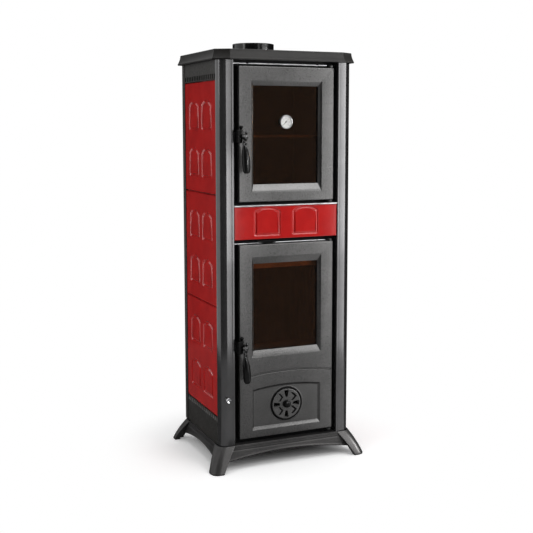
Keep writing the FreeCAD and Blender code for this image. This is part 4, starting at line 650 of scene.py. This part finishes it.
def side_sheet(side, word):
    """Folded side sheet: fins between upright slots above and below the tiles, and a leaning blade in
    each slot of the lower row."""
    place = on_side(side)
    lefts = -145.5 + FIN_STEP * np.arange(FINS)
    patches = []
    for low, high, slot_low, slot_high in ((BASE_TOP, TILES_LOW, 151.0, 164.0),
                                           (TILES_HIGH, PLATE_LOW + 18.0, 1231.5, 1247.0)):
        slots = [oblong(left + 0.22 * FIN_STEP, left + 0.78 * FIN_STEP, slot_low, slot_high, 1.2, 3)
                 for left in lefts]
        patches += [wall(line, place, 0.0, -0.8, -SHEET_THICK) for line in slots]
        rim = oblong(SHEET_FRONT, SHEET_BACK, low, high, 0.5, 2)
        patches += [flat(place(rim, out), *each(slots, place, out)) for out in (0.0, -SHEET_THICK)]
        patches.append(wall(rim, place, 0.0, -SHEET_THICK))
    for inner, outer, front, low, high, round_by in (
            (218.0, SIDE_FACE, SHEET_FRONT, TILES_LOW - SHEET_THICK, TILES_LOW, 0.2),
            (218.0, SIDE_FACE, SHEET_FRONT, TILES_HIGH, TILES_HIGH + SHEET_THICK, 0.2),
            (217.0, 218.5, SHEET_FRONT, 167.0, 1229.0, 0.2),
            (217.5, SIDE_FACE, 151.2, TILES_LOW, TILES_HIGH, 0.3)):
        patches += bar(sorted((side * inner, side * outer)), (front, SHEET_BACK), (low, high), round_by)
    lean, level = np.array([(0.2, 151.5), (-1.2, 163.5), (-1.6, 163.5), (-0.2, 151.5)]).T
    blades = []
    for left in lefts:
        blades += capped([place(np.stack([np.full(4, left + part * FIN_STEP), level], 1), lean)
                          for part in (0.26, 0.74)])
    put("side_louvres_" + word, blades, louvre_grey, "stove", (), "sheet_steel")
    put("side_sheet_folded_" + word, patches, side_black, "stove", ("side_sheet_" + word,), "sheet_steel")


# Doors

RIM_ROUND, BEVEL_DEEP, PANE_SEAT = 2.5, 10.0, -14.0
GROOVE = ((0.6, 0.0), (0.0, -0.4), (-0.9, -2.4), (-1.5, -3.6))
PANEL_WALL = ((1.2, 0.0), (0.0, -0.5), (-3.0, -3.0), (-5.8, -5.1), (-6.6, -5.4), (-7.4, -5.5))
PANEL_FOOT_LEAN = 0.42
SEAT_WELL = ((3.6, -5.5), (2.6, -5.1), (1.4, -4.9), (0.5, -5.1), (0.0, -5.8), (0.0, -7.6))


def door_rim(low, high):
    """Outer edge of a door: back ring, up the side and over a small round to the front face."""
    turn = np.linspace(0, QUARTER, 5)
    over = zip(RIM_ROUND * (np.cos(turn) - 1), RIM_ROUND * (np.sin(turn) - 1))
    rim = oblong(-DOOR_HALF, DOOR_HALF, low, high, RIM_ROUND, 4)
    return rows_round(rim, [(0.0, -DOOR_THICK), *over], on_front)


def bevelled_window(low, high, window_low, window_high):
    """Sloping frame round a window: from the face's edge down to the glass, then square to the back."""
    outer = oblong(-BEVEL_HALF, BEVEL_HALF, low, high, 1.5, 3)
    inner = oblong(-WINDOW_HALF, WINDOW_HALF, window_low, window_high, 1.0, 3)
    lap = oblong(-WINDOW_HALF - 11.0, WINDOW_HALF + 11.0, window_low - 11.0, window_high + 11.0, 1.0, 3)
    slope = [on_front(widened(outer, 1.2)), on_front(outer, -0.5)]
    slope += [on_front(outer + (inner - outer) * part, -BEVEL_DEEP * part ** 1.15)
              for part in np.linspace(0, 1, 7)[1:]]
    return slope + [on_front(inner, -10.4), on_front(inner, PANE_SEAT), on_front(lap, PANE_SEAT),
                    on_front(lap, -DOOR_THICK)]


def groove_line(half, level, rise, wide):
    """Band between two arcs across the door: level plus rise times one minus the square of x over the
    half width."""
    x = np.linspace(-half, half, 33)
    middle = level + rise * (1 - (x / half) ** 2)
    return np.concatenate([np.stack([x, middle - wide / 2], 1), np.stack([x, middle + wide / 2], 1)[::-1]])


def oven_door():
    """Upper door: rounded rim, flat face, sloped window frame and a rebate for the glass."""
    rim = door_rim(852.0, 1270.5)
    slope = bevelled_window(881.0, 1229.0, 906.0, 1212.0)
    patches = [skin(rim), skin(slope), flat(rim[-1], slope[0]), flat(rim[0], slope[-1])]
    put("oven_door_casting", patches, iron_door, "oven_door", ("oven_door_frame",), "cast_iron_door")


def panel_line(half, low, high, rise):
    """Panel outline: square foot and an arched head, with small rounded corners."""
    x = np.linspace(1, -1, 25)
    head = np.stack([half * x, high + rise * (1 - x ** 2)], 1)
    return rounded_line(np.concatenate([[(-half, low), (half, low)], head]), 1.0, 3)


def leaning_foot(panel, gap, height):
    """Outline of the sunk panel at a depth: drawn in all round, and further at its foot, whose wall lies
    flatter."""
    line = widened(panel, gap)
    line[:, 1] += np.where(line[:, 1] < REGISTER_LEVEL, max(-gap, 0.0) * PANEL_FOOT_LEAN, 0.0)
    return on_front(line, height)


def port(quarter, inner, outer, spread):
    """Ring segment about the register's centre: two arcs and their radial ends, the corners rounded."""
    half = math.radians(spread) / 2
    first, last = quarter * QUARTER - half, quarter * QUARTER + half
    far = arc(0.0, REGISTER_LEVEL, outer, first, 2 * half, 7)
    near = arc(0.0, REGISTER_LEVEL, inner, last, -2 * half, 7)
    return rounded_line(np.concatenate([far, near]), 1.2, 3)


def fire_door():
    """Lower door: the same rim and window, an arched groove, a sunk panel with sloped walls and the
    register's seat."""
    rim = door_rim(94.0, 717.5)
    slope = bevelled_window(356.0, 678.0, 377.0, 656.0)
    groove = groove_line(158.5, 293.0, 13.0, 6.6)
    panel = panel_line(119.5, 119.0, 251.0, 10.5)
    sunk = [leaning_foot(panel, gap, height) for gap, height in PANEL_WALL]
    seat = disc(0.0, REGISTER_LEVEL, 56.0, 96)
    wells = rows_round(seat, SEAT_WELL, on_front)
    ports = [port(quarter, 24.0, 43.0, 17.0) for quarter in range(4)]
    deep = SEAT_WELL[-1][1]
    patches = [skin(rim), skin(slope), carried(groove, GROOVE, on_front),
               flat(on_front(widened(groove, GROOVE[-1][0]), GROOVE[-1][1])), skin(sunk), skin(wells),
               flat(rim[-1], slope[0], on_front(widened(groove, GROOVE[0][0])), sunk[0]),
               flat(sunk[-1], wells[0]), flat(wells[-1], *each(ports, on_front, deep))]
    patches += [wall(line, on_front, deep, -DOOR_THICK) for line in ports]
    patches.append(flat(rim[0], slope[-1], *each(ports, on_front, -DOOR_THICK)))
    put("fire_door_casting", patches, iron_door, "fire_door", ("fire_door_frame",), "cast_iron_door")


CHEVRON = np.array([(2.0, 0.5), (-8.5, -12.5), (-1.5, -12.5), (9.5, 0.5), (-2.5, 13.5), (-9.5, 13.5)])
DISC_FACE, DISC_BACK = -2.0, -7.2


def register():
    """Turning disc in its channel, which a black ring sheet darkens as painted shade: rounded rim, four
    ports, four sunk chevrons lined black as painted shade and a domed hub.
    """
    face = DISC_FACE
    rim = disc(0.0, REGISTER_LEVEL, 49.5, 96)
    edge = ((0.0, DISC_BACK), (0.0, face - 0.9), (-0.3, face - 0.3), (-1.0, face), (-2.2, face))
    rings = rows_round(rim, edge, on_front)
    patches = [skin(rings)]
    ports = [port(quarter, 23.0, 45.0, 20.0) for quarter in range(4)]
    patches += [wall(line, on_front, face, DISC_BACK) for line in ports]
    chevrons = [rounded_line(CHEVRON * (wide, 1.0) + (middle, REGISTER_LEVEL + up), 0.8, 3)
                for middle, wide in ((-20.0, 0.95), (26.0, 1.2)) for up in (-22.0, 22.5)]
    patches += [carried(line, ((0.0, face), (-0.1, face - 2.0), (-0.2, face - 4.0)), on_front)
                for line in chevrons]
    bore = disc(0.0, REGISTER_LEVEL, 13.0, 48)
    patches.append(flat(rings[-1], *each([bore] + ports + chevrons, on_front, face)))
    patches.append(flat(rings[0], *each(ports, on_front, DISC_BACK)))
    put("register_disc_casting", patches, iron_door, "register", ("register_disc",), "cast_iron_door")
    # The chevrons' walls and floors are lined with black enamel as painted shade.
    painted_shade_hollows = []
    for line in chevrons:
        inner = widened(line, -0.1)
        painted_shade_hollows += [wall(inner, on_front, face - 0.1, face - 3.2), flat(on_front(inner, face - 3.2))]
    put("register_chevron_painted_shade", painted_shade_hollows, plate_black, "register", (), "cast_iron_door")
    # A black ring sheet sits in the channel round the disc as painted shade.
    channel = [carried(rim, [(gap, -6.4) for gap in (6.3, 3.0, 0.4)], on_front)]
    put("register_channel_painted_shade", channel, plate_black, "fire_door", (), "cast_iron_door")
    hub = [(13.0, face), (12.6, face + 1.2), (12.0, face + 1.8), (11.8, face + 3.0), (11.6, 6.4),
           (10.4, 8.8), (8.2, 10.3), (4.6, 11.0), (0.0, 11.2)]
    put("register_hub", [turned(hub, (0.0, FRONT, REGISTER_LEVEL), "y", 48)], handle_iron, "register", (),
        "cast_iron_door")


# Thermometer

SCALE_EDGE, NUMBERS_AT, SCALE_START = 17.8, 11.4, 225.0
PRINT_OUT = -11.0


def thermometer():
    """Dial thermometer: case, face with a scale of ticks and numbers, and the needle."""
    centre = (0.0, -161.0, DIAL_LEVEL)
    case = [(4.0, -9.0), (4.0, 0.0), (20.0, 0.0), (21.5, 0.8), (21.5, 7.4), (20.8, 8.6), (19.8, 9.0),
            (19.2, 8.6), (19.0, 7.6), (19.0, 2.0), (0.0, 2.0)]
    plate = [(0.0, 2.0), (19.0, 2.0), (19.0, 3.0), (0.0, 3.0)]
    for name, profile, finish, node, slot in (
            ("thermometer_bezel", case, bright_rim, "thermometer_case", "bright_trim"),
            ("thermometer_face", plate, dial_white, "thermometer_dial", "dial_white")):
        put(name, [turned(profile, centre, "y", 72)], finish, "oven_door", (node,), slot)
    middle = np.array([0.0, DIAL_LEVEL])
    ticks = []
    for number in range(31):
        angle = math.radians(SCALE_START - 9.0 * number)
        long, half = (3.6, 0.32) if number % 5 == 0 else (2.0, 0.18)
        across = np.array([math.sin(angle), -math.cos(angle)]) * half
        outer, inner = (np.array([math.cos(angle), math.sin(angle)]) * radius
                        for radius in (SCALE_EDGE, SCALE_EDGE - long))
        line = np.stack([outer - across, outer + across, inner + across, inner - across]) + middle
        ticks += capped([on_front(line, out) for out in (PRINT_OUT, PRINT_OUT + 0.15)])
    put("thermometer_scale", ticks, dial_ink, "oven_door", (), "needle_black")
    for number in range(0, 301, 50):
        dial_number(number, math.radians(SCALE_START - 0.9 * number))
    needle = np.array([(-0.9, -5.0), (0.9, -5.0), (0.8, 0.0), (0.25, 16.0), (-0.25, 16.0), (-0.8, 0.0)])
    lean = math.radians(135.0)
    spin = np.array([[math.cos(lean), -math.sin(lean)], [math.sin(lean), math.cos(lean)]])
    patches = capped([on_front(needle @ spin.T + middle, out) for out in (-10.3, -9.8)])
    patches.append(turned([(0.0, 3.7), (2.2, 3.7), (2.2, 4.3), (1.4, 4.5), (0.0, 4.5)], centre, "y", 24))
    put("thermometer_pointer", patches, dial_ink, "dial_needle", ("thermometer_needle",), "needle_black")


def dial_number(number, angle):
    """Number of the scale, made a mesh and set upright on the face at its angle."""
    name = "dial_number_%d" % number
    words = bpy.data.curves.new(name, "FONT")
    words.body = str(number)
    words.size = 3.2
    words.align_x = words.align_y = "CENTER"
    words.extrude = 0.06
    mesh = solid_letters(words)
    spots = np.empty(len(mesh.vertices) * 3)
    mesh.vertices.foreach_get("co", spots)
    x, z, out = spots.reshape(-1, 3).T
    moved = np.stack([x + NUMBERS_AT * math.cos(angle), FRONT - PRINT_OUT - 0.08 - out,
                      DIAL_LEVEL + z + NUMBERS_AT * math.sin(angle)], 1) * MM
    mesh.vertices.foreach_set("co", moved.ravel())
    mesh.materials.clear()
    mesh.materials.append(dial_ink)
    figure = added(name, mesh)
    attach(figure, "oven_door")


def solid_letters(words):
    """Mesh of a text object, made before it is placed."""
    holder = added("letters", words)
    bpy.context.view_layer.update()
    mesh = bpy.data.meshes.new_from_object(holder.evaluated_get(bpy.context.evaluated_depsgraph_get()))
    bpy.data.objects.remove(holder)
    return mesh


# Handles and small metalwork

HANDLE_Y, NECK_SHIFT = -208.2, 6.0
GRIP_TOP, GRIP_LONG = -26.0, 84.0


def handle(word, level):
    """Latch handle: hub, side block with two nubs, a two-strand twist, a collar and the grip, a turned drop
    that leans to the neck by the square of its height."""
    body = word + "_handle"
    x, y = HANDLE_X, HANDLE_Y
    neck = x - NECK_SHIFT
    hub = [(4.5, -19.0), (4.5, -2.0), (8.6, 2.0), (10.2, 3.5), (10.4, 17.0), (9.4, 21.0), (6.6, 23.4),
           (0.0, 24.4)]
    patches = [turned(hub, (x, FRONT, level), "y", 40)]
    patches += bar((x - 26.0, x - 9.0), (-199.0, -179.0), (level - 17.0, level + 24.0), 2.6, 4)
    rise = np.array([0.0, 0.10, 0.22, 0.36, 0.48, 0.58, 0.68, 0.80, 0.90, 0.97, 1.0])
    wide = np.array([7.4, 5.8, 4.2, 3.8, 4.9, 6.2, 6.8, 6.6, 5.2, 2.8, 0.0])
    patches.append(turned(np.stack([wide, 20.0 + 17.0 * rise], 1), (x - 10.0, -189.0, level), "z", 28))
    put(word + "_handle_block", patches, handle_iron, body, (word + "_handle_lever",), "handle_metal", 40.0)
    half = np.linspace(0, math.pi, 13)
    balls = (((x + 5.5, -196.0, level + 14.0), 5.4), ((x - 5.0, y + 5.0, level + 3.0), 6.4))
    patches = [turned(np.stack([radius * np.sin(half), -radius * np.cos(half)], 1), centre, "z", 24)
               for centre, radius in balls]
    fall = np.linspace(0, 1, 70)
    orbit = 5.6 - 1.8 * fall
    for phase in (0.0, math.pi):
        twist = 1.25 * 2 * math.pi * fall + phase
        strand = np.stack([neck + orbit * np.cos(twist), y + orbit * np.sin(twist),
                           level + 5.0 - 31.0 * fall], 1)
        patches += tube(strand, 3.3 - 0.5 * fall, 14, (0.3, 0.2, 1.0))
    collar = [(0.0, -28.0), (5.4, -28.0), (6.6, -26.6), (6.6, -24.8), (5.4, -23.2), (0.0, -22.6)]
    patches.append(turned(collar, (neck, y, level), "z", 32))
    put(word + "_handle_twist", patches, twist_iron, body, (), "handle_metal", 40.0)
    fall = np.array([0.0, 0.012, 0.05, 0.12, 0.22, 0.34, 0.48, 0.62, 0.75, 0.86, 0.93, 0.975, 0.995, 1.0])
    wide = np.array([0.0, 6.2, 7.4, 8.8, 10.4, 11.6, 12.4, 12.6, 12.5, 11.8, 10.4, 7.8, 4.4, 0.0])
    points, faces = turned(np.stack([wide, GRIP_TOP - GRIP_LONG * fall], 1), (x, y, level), "z", 48)
    up = np.clip((points[:, 2] - level - GRIP_TOP) / GRIP_LONG + 1, 0.0, 1.0)
    points[:, 0] -= NECK_SHIFT * up ** 2
    put(word + "_handle_lacquered_grip", [(points, faces)], handle_black, body, (word + "_handle_grip",),
        "handle_black", 50.0)


def strips():
    """Bright slotted strips above each door in three stretches, each a rounded bar on a shared shelf."""
    patches = []
    for low, high in ((1276.5, 1280.5), (719.5, 722.5)):
        patches += bar((-177.0, 144.0), (-159.0, -150.0), (low, low + 1.6), 0.3)
        for run in ((-177.0, -132.5), (-125.5, 107.5), (114.5, 144.0)):
            patches += bar(run, (-161.0, -158.8), (low, high))
    put("vent_strips_bright", patches, bright_rim, "stove", ("vent_strips",), "bright_trim")


def lever():
    """Lens-shaped tab of the secondary air slide on its flat arm: one minus a power of the run."""
    x = np.linspace(-1, 1, 41)
    bow = 4.5 * (1 - np.abs(x) ** 2.2)
    lower, upper = (np.stack([-65.0 + 37.0 * x, 725.0 + part * bow], 1) for part in (-1, 1))
    line = np.concatenate([lower, upper[::-1]])
    patches = capped(rows_round(line, ((-1.0, -7.0), (0.0, -6.6), (0.0, -4.6), (-0.8, -4.0)), on_front))
    patches += bar((-71.0, -59.0), (-170.0, -145.7), (723.5, 726.5), 0.4)
    put("air_lever_tab", patches, handle_iron, "air_control", ("air_lever",), "bright_trim")


def knob():
    """Dished knob on the riddling rod: one profile spun about the rod."""
    profile = [(4.6, 0.0), (5.0, 1.0), (5.0, 2.6), (7.6, 4.4), (8.5, 6.6), (8.5, 9.0), (8.1, 10.4),
               (7.3, 11.0), (6.3, 10.7), (5.0, 9.4), (3.2, 8.4), (0.0, 8.0)]
    put("riddle_knob_chromed", [turned(profile, (-209.0, -189.0, 233.0), "y", 40)], chrome, "riddle",
        ("riddle_knob",), "chrome", 50.0)


def finish_frame():
    """Finishes of the CAD nodes that stay in view."""
    for finish, nodes in (
            (plate_black, "front_plate"), (side_black, "back_panel"), (oven_grey, "oven_box"),
            (inner_steel, "inner_body ash_floor ash_pan air_slide oven_glass_retainers"),
            (inner_steel, "fire_glass_retainers"),
            (hinge_grey, "oven_rack latch_strikers oven_latch_cam fire_latch_cam riddle_rod"),
            (hinge_dark, "hinge_brackets oven_hinge_pins fire_hinge_pins"), (stone, "oven_stone"),
            (brick, "lining_back lining_left lining_right baffle_plate"),
            (grate_iron, "grate_frame log_guard riddle_grate"), (bright_rim, "air_wash_deflector"),
            (zinc, "body_screws"), (clear_pane, "oven_door_glass fire_door_glass"),
            (seal_cord, "oven_door_seal fire_door_seal"), (dial_lens, "thermometer_lens")):
        for node in nodes.split():
            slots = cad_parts[node].data.materials
            if not slots:
                slots.append(finish)
            for number in range(len(slots)):
                slots[number] = finish


# Studio

FLOOR_LIFT, FLOOR_NEAR, FLOOR_FAR = 0.22, 0.27, 0.58
# SHADE_DEEP and SHADE_END: where the floor's lift fades out under the stove's body, leaving painted shade
# there.
SHADE_DEEP, SHADE_END = -0.10, 0.05
SKY_LIGHT = 0.36
CARD_RADIUS, MAT_INNER = 1.75, 0.45
MAT_THICK = 0.0015
MATS = (
    ("mat_near", 0.0, 360.0, 0.02, MAT_INNER, 0.06),
    ("mat_behind", -30.0, 200.0, MAT_INNER, CARD_RADIUS, 0.06),
    ("mat_front", 200.0, 298.0, MAT_INNER, CARD_RADIUS, 0.38),
    ("mat_right", 298.0, 330.0, MAT_INNER, CARD_RADIUS, 0.90),
)
CARDS = (
    ("flag_behind_left", 88.0, 122.0, 0.0, 1.8, 0.03),
    ("flag_front_left", 197.0, 274.0, 0.0, 2.4, 0.0),
    ("card_front_low", 276.0, 283.2, 0.0, 0.45, 2.8),
    ("card_front_middle", 276.0, 283.2, 0.45, 0.95, 5.4),
    ("card_front_high", 276.0, 283.2, 0.95, 1.5, 2.8),
    ("flag_front", 283.3, 300.0, 0.0, 1.75, 0.07),
    ("card_right_low", 300.05, 318.0, 0.0, 0.5, 3.6),
    ("card_right_high", 300.05, 318.0, 0.5, 1.5, 5.6),
    ("flag_right", 318.0, 447.0, 0.0, 2.2, 0.0),
)
DOOR_CASTINGS = ("oven_door_casting", "fire_door_casting")


def lamp(name, place, target, wide, high, power):
    """Soft area lamp aimed at a point."""
    data = bpy.data.lights.new(name, "AREA")
    data.shape = "RECTANGLE"
    data.size, data.size_y = wide, high
    data.energy = power
    item = added(name, data)
    item.location = place
    item.rotation_euler = (Vector(target) - Vector(place)).to_track_quat("-Z", "Y").to_euler()
    item.visible_camera = False
    return item


def chosen(light, name, pieces, state="INCLUDE"):
    """Tells a lamp which pieces it lights, or with EXCLUDE which it passes by."""
    group = bpy.data.collections.new(name)
    for piece in pieces:
        group.objects.link(bpy.data.objects[piece])
    for item in group.collection_objects:
        item.light_linking.link_state = state
    light.light_linking.receiver_collection = group


def plain_material(name):
    """Material with an empty node tree, and its tree."""
    material = bpy.data.materials.new(name)
    material.use_nodes = True
    material.node_tree.nodes.clear()
    return material, material.node_tree


def glowing(tree, strength):
    """Plain white light of a strength."""
    node = add_node(tree, "Emission")
    fill_in(node, ("Strength", strength))
    return node.outputs[0]


def shown(tree, kind, shader):
    """Gives a shader to the output of a material or of the world."""
    fill_in(add_node(tree, "Output" + kind), ("Surface", shader))


def looked_at(tree):
    """1 for rays from the camera and those in gloss and glass, 0 for the light that falls on things."""
    path = add_node(tree, "LightPath").outputs
    return worked(tree, "MAXIMUM", worked(tree, "MAXIMUM", path["Is Camera Ray"], path["Is Glossy Ray"]),
                  path["Is Transmission Ray"])


def either(tree, share, first, second):
    """Mix of two shaders."""
    node = add_node(tree, "MixShader")
    fill_in(node, (0, share), (1, first), (2, second))
    return node.outputs[0]


def vector_of(tree, way, source):
    """Length of a vector, or the vector without its signs."""
    node = add_node(tree, "VectorMath", operation=way)
    fill_in(node, (0, source))
    return node.outputs["Value" if way == "LENGTH" else "Vector"]


def beneath(tree, place):
    """Lift of the floor: none under the stove, growing to the full lift past the edge of its body, so that
    the floor under the stove is painted shade.
    """
    apart = add_node(tree, "SeparateXYZ")
    fill_in(apart, (0, vector_of(tree, "ABSOLUTE", place)))
    past = [worked(tree, "SUBTRACT", apart.outputs[axis], half * MM)
            for axis, half in (("X", HALF_WIDTH), ("Y", BACK))]
    return stretched(tree, worked(tree, "MAXIMUM", *past), SHADE_DEEP, SHADE_END, 0.0, FLOOR_LIFT)


def floor_paper():
    """White paper that keeps the stove's shadow near it, deepened by painted shade under the stove, and
    runs out to plain white away from it.
    """
    material, tree = plain_material("studio_white")
    place = add_node(tree, "TexCoord").outputs["Object"]
    paper = add_node(tree, "BsdfDiffuse")
    fill_in(paper, ("Color", (0.97, 0.97, 0.97, 1.0)))
    lift_with_painted_shade = add_node(tree, "AddShader")
    fill_in(lift_with_painted_shade, (0, paper.outputs[0]), (1, glowing(tree, beneath(tree, place))))
    away = stretched(tree, vector_of(tree, "LENGTH", place), FLOOR_NEAR, FLOOR_FAR)
    seen = either(tree, away, lift_with_painted_shade.outputs[0], glowing(tree, 1.0))
    shown(tree, "Material", either(tree, looked_at(tree), paper.outputs[0], seen))
    return material


def studio_world():
    """White to the camera and in gloss, a softer white as light."""
    world = bpy.data.worlds.new("studio")
    bpy.context.scene.world = world
    world.use_nodes = True
    tree = world.node_tree
    tree.nodes.clear()
    whites = []
    for strength in (SKY_LIGHT, 1.0):
        node = add_node(tree, "Background")
        fill_in(node, ("Color", (1.0, 1.0, 1.0, 1.0)), ("Strength", strength))
        whites.append(node.outputs[0])
    shown(tree, "World", either(tree, looked_at(tree), *whites))


def stage_piece(name, corners, faces, material):
    """Flat piece of the studio, which isn't part of the stove."""
    mesh = bpy.data.meshes.new(name)
    mesh.from_pydata(corners.tolist(), [], faces.tolist())
    mesh.materials.append(material)
    item = added(name, mesh)
    return item


def card_piece(name, corners, faces, strength):
    """Flat studio card, seen only in gloss: a strength of 0 is a black flag."""
    material, tree = plain_material(name + "_face")
    shown(tree, "Material", glowing(tree, strength))
    item = stage_piece(name, corners, faces, material)
    item.visible_camera = item.visible_diffuse = item.visible_shadow = item.visible_transmission = False


def round_stove(radius, first, last, steps):
    """Points round the stove at a radius, from one plan bearing to the next in degrees from +X."""
    return arc(0.0, 0.0, radius, math.radians(first), math.radians(last - first), steps)


def ring_cards():
    """Mats on the floor and cards on a circle round the stove, each from one bearing to the next."""
    for name, first, last, inner, outer, strength in MATS:
        rows = each([round_stove(radius, first, last, 25) for radius in (inner, outer)], in_plan, MAT_THICK)
        card_piece(name, *surface(np.stack(rows)), strength)
    for name, first, last, low, high, strength in CARDS:
        count = max(1, round((last - first) / 15.0))
        spots = round_stove(CARD_RADIUS, first, last, count + 1)
        for number, (start, end) in enumerate(zip(spots, spots[1:])):
            corners = np.array([(*start, low), (*end, low), (*end, high), (*start, high)])
            card_piece("%s_%d" % (name, number), corners, np.array([[0, 1, 2, 3]]), strength)


def studio():
    """White floor and world, cards, soft lamps, and the camera."""
    scene = bpy.context.scene
    studio_world()
    span = np.array([(-7.0, -7.0, 0.0), (7.0, -7.0, 0.0), (7.0, 7.0, 0.0), (-7.0, 7.0, 0.0)])
    stage_piece("floor", span, np.array([[0, 1, 2, 3]]), floor_paper())
    ring_cards()

    key = lamp("key_right", (2.45, -1.65, 1.25), (0.0, 0.0, 0.8), 0.34, 0.34, 72.0)
    chosen(key, "key_passes_by", ("floor", "column_casting_right") + DOOR_CASTINGS, "EXCLUDE")
    lamp("front_soft", (1.0, -2.3, 2.5), (0.0, 0.0, 0.9), 1.4, 1.0, 22.0)
    spark = lamp("handle_spark", (0.455, -2.31, 0.95), (-0.15, -0.2, 0.95), 0.9, 0.3, 90.0)
    chosen(spark, "polished_pieces", ["register_hub"] + [
        door + "_handle_" + part for door in ("oven", "fire") for part in ("twist", "lacquered_grip")])
    fill = lamp("fill_left", (-2.6, -1.0, 2.0), (0.0, 0.0, 0.7), 1.2, 1.6, 18.5)
    chosen(fill, "fill_passes_by", DOOR_CASTINGS, "EXCLUDE")
    glint = lamp("tile_glint", (-2.05, 1.30, 1.0), (-0.23, 0.0, 0.8), 0.4, 1.8, 13.0)
    chosen(glint, "glazed_side_tiles",
           ["glazed_tile_left_" + level for level in ("bottom", "middle", "top")])
    lamp("top_soft", (0.3, -0.3, 3.2), (0.0, 0.0, 1.0), 2.2, 2.2, 45.0)

    camera_data = bpy.data.cameras.new("camera")
    camera_data.sensor_fit = "HORIZONTAL"
    camera_data.sensor_width = 36.0
    camera_data.lens = 64.56
    camera_data.shift_x = -0.0150
    camera_data.shift_y = -0.0507
    camera = added("camera", camera_data)
    camera.location = (-1.2414, -2.9234, 1.0858)
    camera.rotation_euler = (math.radians(90.0 - 6.74), 0.0, math.radians(-23.55))
    scene.camera = camera
    scene.view_settings.view_transform = "Standard"


base_casting()
column(-1, "left")
column(1, "right")
top_plate()
spigot()
tiles()
side_sheet(-1, "left")
side_sheet(1, "right")
oven_door()
fire_door()
register()
thermometer()
handle("oven", 1052.0)
handle("fire", 394.0)
strips()
lever()
knob()
finish_frame()
studio()
